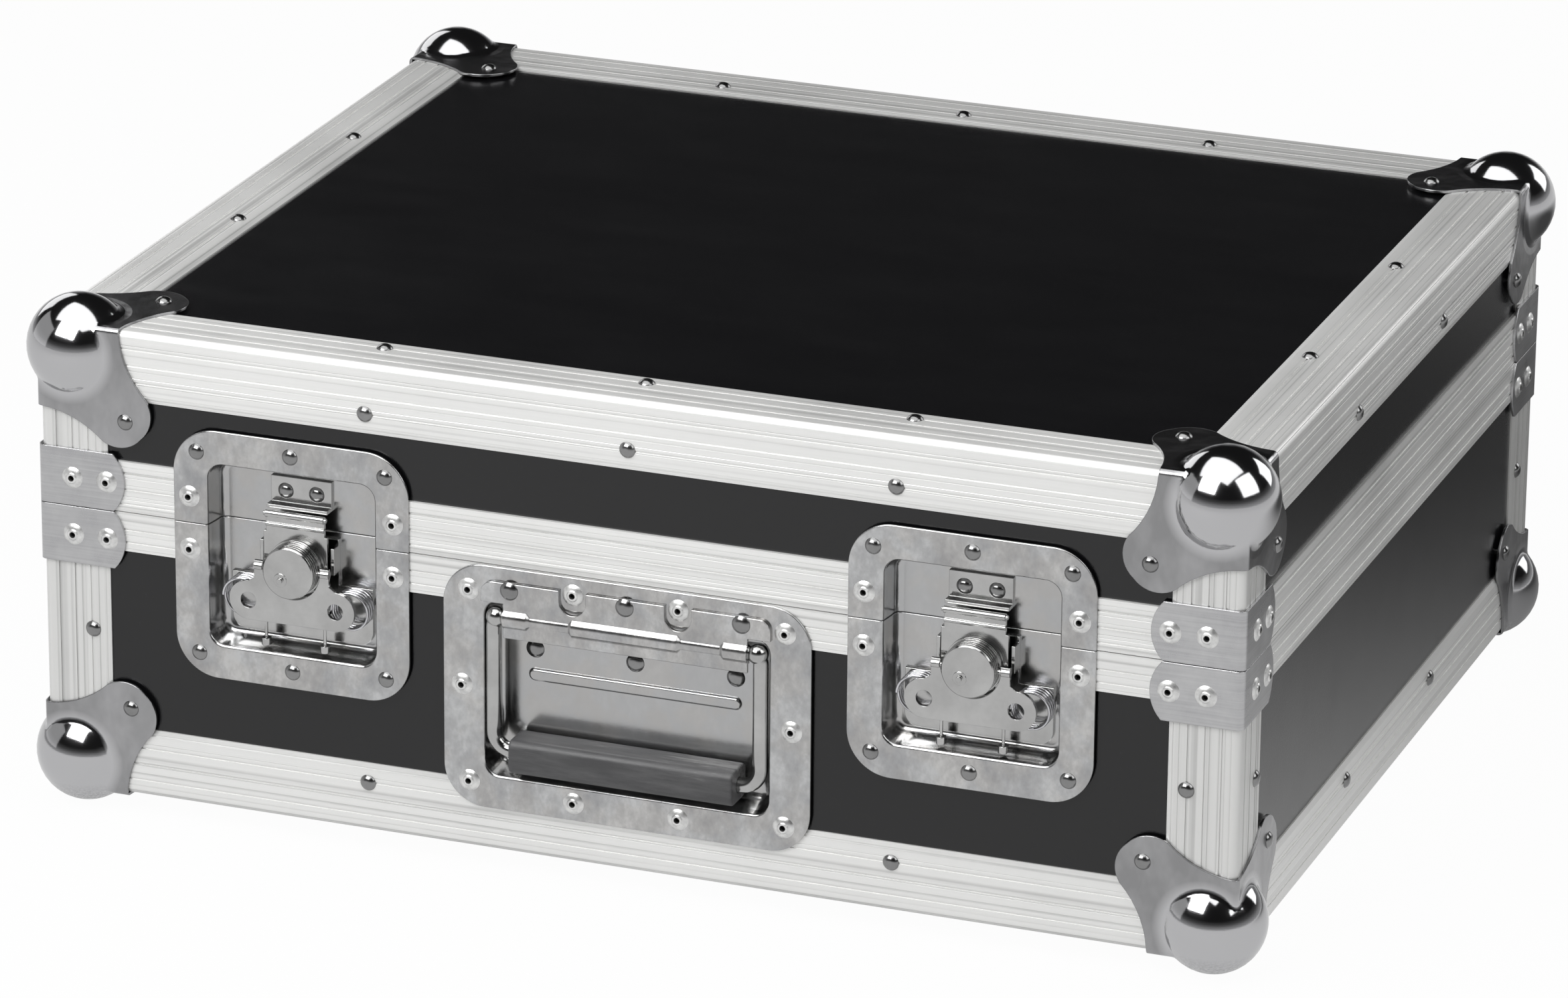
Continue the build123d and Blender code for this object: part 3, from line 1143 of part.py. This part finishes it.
def rivet_group(shank, groups, hole=0.0):
    """Rivets at all the places of some groups, each group with its own head and shank length."""
    with BuildPart() as rivets:
        for head, places, length in groups:
            with Locations(*places):
                add(head)
                Cylinder(shank, length, align=FROM_FACE)
        if hole:
            for head, places, length in groups:
                with Locations(*[place.offset(OVERRUN) for place in places]):
                    deep = OVERRUN + POP_HOLE_DEPTH - POP_TALL
                    Cylinder(hole, deep, align=FROM_FACE, mode=Mode.SUBTRACT)
    return rivets


dome = dome_head(DOME_RADIUS, DOME_TALL)
handle_dome = dome_head(HANDLE_DOME_RADIUS, HANDLE_DOME_TALL)
pop = pop_head.part
base_dome_groups = [
    (dome, base_flush_domes, SLOT_END),
    (dome, base_leaf_domes, LEAF_THICK + SLOT_END),
    (dome, base_dish_domes, DISH_SHEET + SLOT_END),
    (dome, base_hinge_domes, HINGE_LEAF_THICK + SLOT_END),
    (handle_dome, bracket_domes, BRACKET_SHEET + DISH_SHEET + SLOT_END),
    (handle_dome, floor_domes, DISH_SHEET + SHORT_SHANK),
]
lid_dome_groups = [
    (dome, lid_flush_domes, SLOT_END),
    (dome, lid_leaf_domes, LEAF_THICK + SLOT_END),
    (dome, lid_dish_domes, DISH_SHEET + SLOT_END),
    (dome, lid_hinge_domes, HINGE_LEAF_THICK + SLOT_END),
    (dome, strike_domes, STRIKE_SHEET + DISH_SHEET + SHORT_SHANK),
]
base_pop_groups = [
    (pop, base_brace_pops, BRACE_THICK + SLOT_END),
    (pop, base_dish_pops + handle_pops, DISH_SHEET + SLOT_END),
]
lid_pop_groups = [(pop, lid_brace_pops, BRACE_THICK + SLOT_END), (pop, lid_dish_pops, DISH_SHEET + SLOT_END)]
pieces["base_dome_rivets"] = rivet_group(DOME_SHANK, base_dome_groups)
pieces["lid_dome_rivets"] = rivet_group(DOME_SHANK, lid_dome_groups)
pieces["base_pop_rivets"] = rivet_group(POP_SHANK, base_pop_groups, POP_HOLE)
pieces["lid_pop_rivets"] = rivet_group(POP_SHANK, lid_pop_groups, POP_HOLE)

for name, piece in pieces.items():
    piece.part.label = name
    export_step(piece.part, f"parts/{name}.step")
print(len(pieces), "nodes")
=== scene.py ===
import json
import math

import bpy
from mathutils import Matrix, Vector

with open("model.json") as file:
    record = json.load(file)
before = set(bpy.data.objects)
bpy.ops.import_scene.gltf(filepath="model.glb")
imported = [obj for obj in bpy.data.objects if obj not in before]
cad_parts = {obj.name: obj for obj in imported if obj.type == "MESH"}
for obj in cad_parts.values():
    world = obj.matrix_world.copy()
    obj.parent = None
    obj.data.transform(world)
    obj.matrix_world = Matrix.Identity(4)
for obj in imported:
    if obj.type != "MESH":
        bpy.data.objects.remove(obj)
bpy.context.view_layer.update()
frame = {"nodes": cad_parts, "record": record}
nodes = frame["nodes"]

# Camera, solved from the photograph: places in metres in the model's frame, angles in radians
IMAGE_WIDTH = 2362
FOCAL_PIXELS = 12012.58
CAMERA_PLACE = (1.10720, -3.02140, 1.28760)
CAMERA_TURN = 0.35480
CAMERA_TILT = 0.35411
CAMERA_ROLL = -0.00916
SENSOR_WIDTH = 36
CLIP_NEAR = 0.1
CLIP_FAR = 60

# The case, in metres
HALF_WIDTH = 0.261
HALF_DEPTH = 0.215
FOOT = 0.0094
TOP = 0.2144
BALL_INSET = 0.0126
BALL_RADIUS = 0.022

# Where materials change, in metres: the dishes' flange and pan, the ball corners' leaves, the feet's rough
# pits with dark speckle painted as a reflection of a textured floor, and the holes of the pop rivets, whose
# painted shade reaches this far
FLANGE_FRONT = -HALF_DEPTH - 0.0005
PAN_START = -HALF_DEPTH + 0.002
LEAF_START = BALL_RADIUS + 0.0004
LEAF_FULL = BALL_RADIUS + 0.004
# The feet's rough pits and dark speckle, a painted reflection of a textured floor, fade out between these
# heights
SPECKLE_FULL_BELOW = 0.001
SPECKLE_NONE_ABOVE = 0.013
RIVET_HOLE_REACH = 0.0022

# The floor, whose glow in reflections is none round a place behind the case's right and full further away
FLOOR_SIZE = 24
DIM_PLACE = (0.52, 0.45, 0.0)
DIM_RADIUS = 0.12
FULL_RADIUS = 0.68
FULL_GLOW = 0.88
REFLECTED_SHARE = 0.85
SEEN_SHARE = 0.97

# Levels of the world by the direction's height: 0 at the horizon and below it, 1 straight up
WORLD_LEVELS = ((0.0, 0.42), (0.05, 0.34), (0.17, 0.09), (0.30, 0.012), (1.0, 0.012))

# Lamps: name, place and size in metres, power in watts
LAMPS = (
    ("front_key", (-0.42, -1.12, 1.14), (1.02, 0.74), 20),
    ("overhead", (-0.15, -0.40, 2.1), (2.6, 1.8), 29),
    ("right_window", (1.30, -0.45, 1.10), (1.0, 1.0), 7.6),
    ("back_right", (1.7, 2.1, 1.25), (1.6, 1.3), 14),
    ("back_left", (-2.1, 1.7, 1.1), (1.5, 1.2), 8),
    ("left_fill", (-2.2, -0.6, 0.9), (2.0, 1.5), 4.2),
)
LAMP_TARGET = (0, 0, 0.11)
OVERHEAD_TARGET = (0, 0, 0.1)

# The axis that each extrusion runs along, by a word in its name
RUN_OF = {"front": 0, "back": 0, "left": 1, "right": 1, "posts": 2}


def aim_camera():
    """The camera at the photograph's place, with its roll."""
    turn, tilt = CAMERA_TURN, CAMERA_TILT
    forward = Vector((-math.sin(turn) * math.cos(tilt), math.cos(turn) * math.cos(tilt), -math.sin(tilt)))
    right = forward.cross(Vector((0, 0, 1))).normalized()
    down = forward.cross(right)
    across = right * math.cos(CAMERA_ROLL) + down * math.sin(CAMERA_ROLL)
    below = down * math.cos(CAMERA_ROLL) - right * math.sin(CAMERA_ROLL)
    data = bpy.data.cameras.new("camera")
    data.sensor_width = SENSOR_WIDTH
    data.lens = FOCAL_PIXELS / IMAGE_WIDTH * data.sensor_width
    data.clip_start = CLIP_NEAR
    data.clip_end = CLIP_FAR
    camera = bpy.data.objects.new("camera", data)
    turned = Matrix((across, -below, -forward)).transposed().to_4x4()
    camera.matrix_world = Matrix.Translation(CAMERA_PLACE) @ turned
    bpy.context.scene.collection.objects.link(camera)
    bpy.context.scene.camera = camera


def softbox(name, place, target, size, power):
    """A rectangular white lamp that looks at a point and is hidden from the camera."""
    data = bpy.data.lights.new(name, "AREA")
    data.shape = "RECTANGLE"
    data.size, data.size_y = size
    data.energy = power
    lamp = bpy.data.objects.new(name, data)
    lamp.location = place
    lamp.rotation_euler = (Vector(target) - Vector(place)).to_track_quat("-Z", "Y").to_euler()
    lamp.visible_camera = False
    bpy.context.scene.collection.objects.link(lamp)


def math_node(tree, operation, first, second):
    """Output of a maths node on two values, each a number or an output."""
    new = tree.nodes.new("ShaderNodeMath")
    new.operation = operation
    for socket, value in zip(new.inputs, (first, second)):
        if isinstance(value, (int, float)):
            socket.default_value = value
        else:
            tree.links.new(value, socket)
    return new.outputs["Value"]


def grey(level):
    """A neutral colour."""
    return (level, level, level)


class Paint:
    """A Principled material on the object's own coordinates, with helpers for its pattern."""

    def __init__(self, name, color, metallic, roughness):
        self.material = bpy.data.materials.new(name)
        self.material.use_nodes = True
        self.tree = self.material.node_tree
        self.shader = self.tree.nodes["Principled BSDF"]
        values = {"Base Color": (*color, 1), "Metallic": metallic, "Roughness": roughness}
        for socket, value in values.items():
            self.shader.inputs[socket].default_value = value
        self.place = self.node("ShaderNodeTexCoord").outputs["Object"]
        self.height = None

    def node(self, kind, **inputs):
        """A new node with values for its inputs, whose spaces are written as underscores."""
        new = self.tree.nodes.new(kind)
        for socket, value in inputs.items():
            new.inputs[socket.replace("_", " ")].default_value = value
        return new

    def link(self, start, end):
        """Joins an output to an input."""
        self.tree.links.new(start, end)

    def stretched(self, stretch):
        """The object's coordinates, scaled along each axis."""
        mapping = self.node("ShaderNodeMapping", Scale=stretch)
        self.link(self.place, mapping.inputs["Vector"])
        return mapping.outputs["Vector"]

    def noise(self, scale, stretch=(1, 1, 1), detail=3.0, roughness=0.5):
        """Noise with its scale per metre, drawn out along an axis where stretch is small."""
        where = self.stretched(stretch)
        texture = self.node("ShaderNodeTexNoise", Scale=scale, Detail=detail, Roughness=roughness)
        self.link(where, texture.inputs["Vector"])
        return texture.outputs["Fac"]

    def cells(self, scale):
        """Distance to the middle of the nearest cell, with the cells' scale per metre."""
        where = self.stretched((1, 1, 1))
        texture = self.node("ShaderNodeTexVoronoi", Scale=scale)
        self.link(where, texture.inputs["Vector"])
        return texture.outputs["Distance"]

    def axes(self):
        """The object's coordinates along X, Y and Z."""
        split = self.tree.nodes.new("ShaderNodeSeparateXYZ")
        self.link(self.place, split.inputs["Vector"])
        return split.outputs

    def remap(self, value, start, end, low, high):
        """Value from start to end becomes low to high, held at both ends."""
        scale = self.node("ShaderNodeMapRange", From_Min=start, From_Max=end, To_Min=low, To_Max=high)
        self.link(value, scale.inputs["Value"])
        return scale.outputs["Result"]

    def math(self, operation, first, second):
        """Output of a maths node on two values, each a number or an output."""
        return math_node(self.tree, operation, first, second)

    def blend(self, first, first_share, second, second_share):
        """Two values added up by their shares."""
        scaled_first = self.math("MULTIPLY", first, first_share)
        scaled_second = self.math("MULTIPLY", second, second_share)
        return self.math("ADD", scaled_first, scaled_second)

    def tones(self, value, *stops):
        """Base colour from a value, by (position, colour) stops."""
        ramp = self.tree.nodes.new("ShaderNodeValToRGB")
        points = ramp.color_ramp.elements
        while len(points) < len(stops):
            points.new(0.5)
        for point, (position, color) in zip(points, stops):
            point.position = position
            point.color = (*color, 1)
        self.link(value, ramp.inputs["Fac"])
        self.link(ramp.outputs["Color"], self.shader.inputs["Base Color"])
        return ramp.outputs["Color"]

    def shade(self, color_socket, value, start, end, low, high):
        """Multiplies the base colour by one that runs from low to high with a value."""
        ramp = self.tree.nodes.new("ShaderNodeValToRGB")
        for point, position, color in zip(ramp.color_ramp.elements, (start, end), (low, high)):
            point.position = position
            point.color = (*color, 1)
        mix = self.tree.nodes.new("ShaderNodeMix")
        mix.data_type = "RGBA"
        mix.blend_type = "MULTIPLY"
        mix.inputs["Factor"].default_value = 1.0
        self.link(value, ramp.inputs["Fac"])
        self.link(color_socket, mix.inputs[6])
        self.link(ramp.outputs["Color"], mix.inputs[7])
        self.link(mix.outputs[2], self.shader.inputs["Base Color"])

    def hollows(self, reach):
        """How open the surface is within a reach in metres: 1 on a plain face, less in a hole, for painting
        shade into hollows.
        """
        open_sky = self.node("ShaderNodeAmbientOcclusion", Distance=reach)
        open_sky.samples = 8
        open_sky.only_local = True
        return open_sky.outputs["AO"]

    def gloss(self, value, start, end, low, high):
        """Roughness from low to high while the value goes from start to end."""
        self.link(self.remap(value, start, end, low, high), self.shader.inputs["Roughness"])

    def soften(self, radius):
        """Rounds the look of sharp edges by a radius in metres; comes before any bump."""
        bevel = self.node("ShaderNodeBevel", Radius=radius)
        bevel.samples = 6
        self.height = bevel.outputs["Normal"]
        self.link(self.height, self.shader.inputs["Normal"])

    def bump(self, value, depth):
        """Adds relief of a depth in metres; later calls lie on the earlier ones."""
        bump = self.node("ShaderNodeBump", Distance=depth, Strength=1.0)
        self.link(value, bump.inputs["Height"])
        if self.height:
            self.link(self.height, bump.inputs["Normal"])
        self.height = bump.outputs["Normal"]
        self.link(self.height, self.shader.inputs["Normal"])


def laminate():
    """Black laminate with flecks of dust, smears and a few long scratches."""
    black = (0.0035, 0.0035, 0.004)
    paint = Paint("black_laminate", black, 0.0, 0.36)
    grain = paint.noise(1500, detail=2.0)
    dust = paint.noise(620, detail=4.0, roughness=0.7)
    flecks = paint.remap(dust, 0.62, 0.78, 0.0, 1.0)
    wiped = paint.noise(14, (1.0, 2.5, 2.5), detail=5.0, roughness=0.65)
    smears = paint.remap(wiped, 0.35, 0.75, 0.0, 1.0)
    lines = paint.noise(90, (0.12, 1.6, 1.6), detail=6.0, roughness=0.75)
    scratches = paint.remap(lines, 0.66, 0.74, 0.0, 1.0)
    mixed = paint.blend(flecks, 0.55, scratches, 0.18)
    paint.tones(mixed, (0.0, black), (0.4, (0.010, 0.010, 0.011)), (1.0, (0.038, 0.038, 0.041)))
    paint.gloss(smears, 0.0, 1.0, 0.15, 0.22)
    paint.bump(grain, 0.00005)
    return paint.material


def anodised(name, run):
    """Satin aluminium with die lines along the extrusion's run; the uprights get painted shade, a darker
    tone.
    """
    paint = Paint(name, (0.80, 0.80, 0.79), 0.55, 0.38)
    # Painted shade: the uprights' tones are lowered
    level = 0.86 if run == 2 else 1.0
    stretch = tuple(0.0004 if axis == run else 1.0 for axis in range(3))
    lines = paint.noise(1900, stretch, detail=2.0)
    bands = paint.noise(260, stretch, detail=3.0)
    streaks = paint.noise(210, stretch, detail=1.0)
    off_middle = paint.math("ABSOLUTE", paint.math("SUBTRACT", streaks, 0.5), 0.0)
    scores = paint.remap(off_middle, 0.0, 0.035, 1.0, 0.0)
    clouds = paint.noise(9, detail=4.0, roughness=0.6)
    mixed = paint.blend(bands, 0.72, clouds, 0.28)
    mixed = paint.math("SUBTRACT", mixed, paint.math("MULTIPLY", scores, 0.17))
    stops = ((0.26, 0.56), (0.43, 0.79), (0.72, 0.86))
    paint.tones(mixed, *[(spot, (tone * level, tone * level, tone * level * 0.985)) for spot, tone in stops])
    paint.gloss(clouds, 0.3, 0.7, 0.34, 0.44)
    paint.bump(lines, 0.00004)
    paint.bump(bands, 0.00007)
    paint.bump(paint.math("SUBTRACT", 1.0, scores), 0.00010)
    return paint.material


def plated(name, color, roughness, waves=0.0, grain=0.0):
    """Bright plated metal: waves is the depth of its slow ripples, grain of its fine texture."""
    paint = Paint(name, color, 1.0, roughness)
    paint.soften(0.0004)
    cloud = paint.noise(55, detail=4.0, roughness=0.6)
    dark, light = [tuple(min(1.0, part * share) for part in color) for share in (0.86, 1.1)]
    paint.tones(cloud, (0.3, dark), (0.7, light))
    paint.gloss(cloud, 0.3, 0.7, roughness - 0.03, roughness + 0.03)
    if waves:
        paint.bump(paint.noise(28, detail=2.0), waves)
    if grain:
        paint.bump(paint.noise(900, detail=3.0), grain)
    return paint.material


def pressed_dish():
    """Bright zinc on a pressing: marbled streaks on the flange, smoother in the pan."""
    paint = Paint("pressed_dish", (0.70, 0.70, 0.72), 1.0, 0.16)
    paint.soften(0.0007)
    flow = paint.noise(62, (1.0, 1.0, 0.7), detail=6.0, roughness=0.66)
    fine = paint.noise(300, (1.0, 1.0, 0.7), detail=3.0, roughness=0.6)
    mixed = paint.blend(flow, 0.75, fine, 0.25)
    flange = paint.remap(paint.axes()["Y"], FLANGE_FRONT, PAN_START, 1.0, 0.22)
    marbled = paint.math("ADD", paint.math("MULTIPLY", paint.math("SUBTRACT", mixed, 0.5), flange), 0.5)
    stops = ((0.36, (0.36, 0.36, 0.365)), (0.5, grey(0.455)), (0.62, grey(0.58)))
    metal = paint.tones(marbled, *stops)
    paint.shade(metal, paint.noise(85, detail=3.0), 0.42, 0.58, (0.985, 0.993, 1.0), (1.0, 0.99, 0.975))
    paint.gloss(mixed, 0.35, 0.65, 0.14, 0.24)
    paint.bump(paint.math("MULTIPLY", paint.noise(30, detail=3.0, roughness=0.5), flange), 0.00035)
    paint.bump(paint.noise(1400, detail=2.0), 0.00001)
    return paint.material


def ball_distance(paint, axes):
    """Distance from the middle of the nearest ball corner, by the case's symmetry."""
    middles = (0.0, 0.0, (FOOT + TOP) / 2)
    reach = (HALF_WIDTH - BALL_INSET, HALF_DEPTH - BALL_INSET, (TOP - FOOT) / 2 - BALL_INSET)
    squares = []
    for part, middle, far in zip(axes, middles, reach):
        centred = paint.math("SUBTRACT", part, middle)
        away = paint.math("SUBTRACT", paint.math("ABSOLUTE", centred, 0.0), far)
        squares.append(paint.math("MULTIPLY", away, away))
    total = paint.math("ADD", paint.math("ADD", squares[0], squares[1]), squares[2])
    return paint.math("SQRT", total, 0.0)


def ball_chrome():
    """Mirror chrome on the balls, a softer gloss on the leaves round them, and at the feet rough pits with
    dark speckle, a painted reflection of a textured floor.
    """
    paint = Paint("ball_chrome", (0.62, 0.62, 0.63), 1.0, 0.09)
    paint.soften(0.0006)
    axes = paint.axes()
    leaf = paint.remap(ball_distance(paint, axes), LEAF_START, LEAF_FULL, 0.0, 1.0)
    cloud = paint.noise(70, detail=4.0, roughness=0.6)
    flow = paint.noise(40, (1.0, 1.0, 0.6), detail=4.0, roughness=0.6)
    dull = paint.math("MULTIPLY", leaf, paint.remap(flow, 0.38, 0.64, 1.0, 0.5))
    # Near the feet: rough pits, and dark speckle that is a painted reflection of a textured floor
    near_feet = paint.remap(axes["Z"], SPECKLE_FULL_BELOW, SPECKLE_NONE_ABOVE, 1.0, 0.0)
    pits = paint.remap(paint.noise(1000, detail=3.0, roughness=0.7), 0.40, 0.62, 1.0, 0.0)
    pits_and_floor_reflection = paint.math("MULTIPLY", near_feet, pits)
    rough = paint.blend(leaf, 0.12, cloud, 0.06)
    rough = paint.math("ADD", rough, paint.math("MULTIPLY", pits_and_floor_reflection, 0.25))
    paint.link(paint.math("ADD", rough, 0.07), paint.shader.inputs["Roughness"])
    # Painted reflection: the speckle near the feet darkens the base colour
    dark = paint.math("MAXIMUM", dull, pits_and_floor_reflection)
    paint.tones(dark, (0.0, (0.51, 0.51, 0.52)), (1.0, (0.29, 0.29, 0.295)))
    paint.bump(paint.math("MULTIPLY", paint.noise(60, detail=2.0), leaf), 0.0005)
    paint.bump(pits_and_floor_reflection, 0.00008)
    paint.bump(paint.noise(1200, detail=3.0), 0.000006)
    return paint.material


def brushed_brace():
    """Zinc plate with fine level streaks."""
    paint = Paint("brushed_brace", (0.60, 0.60, 0.61), 1.0, 0.30)
    paint.soften(0.0006)
    streaks = paint.noise(1300, (0.02, 0.02, 1.0), detail=3.0)
    cloud = paint.noise(60, detail=4.0, roughness=0.6)
    mixed = paint.blend(streaks, 0.4, cloud, 0.6)
    paint.tones(mixed, (0.34, (0.43, 0.43, 0.44)), (0.64, (0.57, 0.57, 0.575)))
    paint.gloss(cloud, 0.3, 0.7, 0.24, 0.36)
    paint.bump(streaks, 0.00002)
    return paint.material


def pop_rivet():
    """Drawn aluminium, with painted shade in the hole and round the collar."""
    paint = Paint("drawn_aluminium", grey(0.74), 0.9, 0.34)
    cloud = paint.noise(300, detail=4.0, roughness=0.6)
    metal = paint.tones(cloud, (0.34, (0.58, 0.58, 0.575)), (0.62, (0.80, 0.80, 0.79)))
    # Painted shade: ambient occlusion darkens the hole and the crease round the collar
    paint.shade(metal, paint.hollows(RIVET_HOLE_REACH), 0.42, 0.82, grey(0.04), grey(1.0))
    paint.gloss(cloud, 0.3, 0.7, 0.28, 0.42)
    paint.bump(paint.noise(1100, detail=3.0), 0.00001)
    return paint.material


def rubber():
    """Dark rubber with dust in patches along the grip."""
    paint = Paint("grip_rubber", (0.035, 0.036, 0.038), 0.0, 0.48)
    paint.soften(0.0012)
    dust = paint.noise(420, (0.12, 1.0, 1.0), detail=5.0, roughness=0.7)
    patches = paint.noise(45, (0.3, 1.0, 1.0), detail=4.0)
    mixed = paint.math("MULTIPLY", dust, patches)
    stops = ((0.16, (0.048, 0.048, 0.050)), (0.30, (0.080, 0.080, 0.082)), (0.42, grey(0.20)))
    paint.tones(mixed, *stops)
    paint.gloss(patches, 0.3, 0.7, 0.40, 0.56)
    paint.bump(paint.noise(1600, detail=3.0), 0.00006)
    return paint.material


def foam():
    """Dark foam with small closed cells."""
    paint = Paint("foam", (0.035, 0.035, 0.037), 0.0, 0.92)
    cells = paint.cells(900)
    cloud = paint.noise(30, detail=4.0)
    paint.tones(cloud, (0.3, (0.032, 0.032, 0.034)), (0.7, (0.044, 0.044, 0.047)))
    paint.bump(cells, 0.0003)
    return paint.material


def floor_material():
    """Pale floor: its own colour under the lamps, white to the camera, and in the metal's reflections a
    painted glow that fades to none round a place behind the case's right.
    """
    material = bpy.data.materials.new("floor")
    material.use_nodes = True
    tree = material.node_tree
    shader = tree.nodes["Principled BSDF"]
    shader.inputs["Base Color"].default_value = (*grey(0.52), 1)
    shader.inputs["Roughness"].default_value = 0.9
    shader.inputs["Specular IOR Level"].default_value = 0.1

    ray = tree.nodes.new("ShaderNodeLightPath").outputs
    place = tree.nodes.new("ShaderNodeTexCoord")
    far = tree.nodes.new("ShaderNodeVectorMath")
    far.operation = "DISTANCE"
    far.inputs[1].default_value = DIM_PLACE
    tree.links.new(place.outputs["Object"], far.inputs[0])
    fade = tree.nodes.new("ShaderNodeMapRange")
    fade.interpolation_type = "SMOOTHSTEP"
    limits = {"From Min": DIM_RADIUS, "From Max": FULL_RADIUS, "To Min": 0.0, "To Max": FULL_GLOW}
    for socket, value in limits.items():
        fade.inputs[socket].default_value = value
    tree.links.new(far.outputs["Value"], fade.inputs["Value"])

    glow = tree.nodes.new("ShaderNodeEmission")
    glow.inputs["Color"].default_value = (*grey(1), 1)
    strength = math_node(tree, "MAXIMUM", ray["Is Camera Ray"], fade.outputs["Result"])
    tree.links.new(strength, glow.inputs["Strength"])

    mirrored = math_node(tree, "MAXIMUM", ray["Is Glossy Ray"], ray["Is Transmission Ray"])
    reflected = math_node(tree, "MULTIPLY", mirrored, REFLECTED_SHARE)
    seen = math_node(tree, "MAXIMUM", ray["Is Camera Ray"], reflected)
    mix = tree.nodes.new("ShaderNodeMixShader")
    tree.links.new(math_node(tree, "MULTIPLY", seen, SEEN_SHARE), mix.inputs["Fac"])
    tree.links.new(shader.outputs["BSDF"], mix.inputs[1])
    tree.links.new(glow.outputs["Emission"], mix.inputs[2])
    tree.links.new(mix.outputs["Shader"], tree.nodes["Material Output"].inputs["Surface"])
    return material


def build_floor():
    """The floor, as part of the stage."""
    bpy.ops.mesh.primitive_plane_add(size=FLOOR_SIZE, location=(0, 0, 0))
    floor = bpy.context.object
    floor.name = "floor"
    floor.data.materials.append(floor_material())


def build_world():
    """A studio that is brightest below and dark above."""
    world = bpy.data.worlds.new("studio")
    bpy.context.scene.world = world
    world.use_nodes = True
    tree = world.node_tree
    background = tree.nodes["Background"]
    where = tree.nodes.new("ShaderNodeTexCoord")
    split = tree.nodes.new("ShaderNodeSeparateXYZ")
    ramp = tree.nodes.new("ShaderNodeValToRGB")
    tree.links.new(where.outputs["Generated"], split.inputs["Vector"])
    tree.links.new(split.outputs["Z"], ramp.inputs["Fac"])
    points = ramp.color_ramp.elements
    while len(points) < len(WORLD_LEVELS):
        points.new(0.5)
    for point, (position, level) in zip(points, WORLD_LEVELS):
        point.position = position
        point.color = (level, level, level * 1.01, 1)
    tree.links.new(ramp.outputs["Color"], background.inputs["Color"])
    background.inputs["Strength"].default_value = 1.0


def build_lamps():
    """The lamps round the case."""
    for name, place, size, power in LAMPS:
        target = OVERHEAD_TARGET if name == "overhead" else LAMP_TARGET
        softbox(name, place, target, size, power)


def dress_case():
    """Gives each piece the finish of its material slot."""
    aluminium = [anodised(f"anodised_{axis}", run) for run, axis in enumerate("xyz")]
    finishes = {
        "laminate": laminate(),
        "chrome": ball_chrome(),
        "zinc": brushed_brace(),
        "dish": pressed_dish(),
        "latch_steel": plated("latch_metal", (0.47, 0.47, 0.465), 0.15, waves=0.0005, grain=0.00001),
        "spring_wire": plated("spring_wire", (0.58, 0.58, 0.60), 0.14),
        "nickel": plated("nickel_dome", grey(0.27), 0.20, grain=0.000008),
        "rivet_aluminium": pop_rivet(),
        "grip_rubber": rubber(),
        "foam": foam(),
    }
    slots = {entry["node"]: entry["material_slot"] for entry in frame["record"]["subparts"]}
    for name, piece in nodes.items():
        slot = slots[name]
        if slot == "extrusion":
            run = next(axis for word, axis in RUN_OF.items() if word in name)
            finish = aluminium[run]
        else:
            finish = finishes[slot]
        piece.data.materials.clear()
        piece.data.materials.append(finish)


aim_camera()
build_floor()
build_world()
build_lamps()
dress_case()

scene = bpy.context.scene
scene.view_settings.view_transform = "Standard"
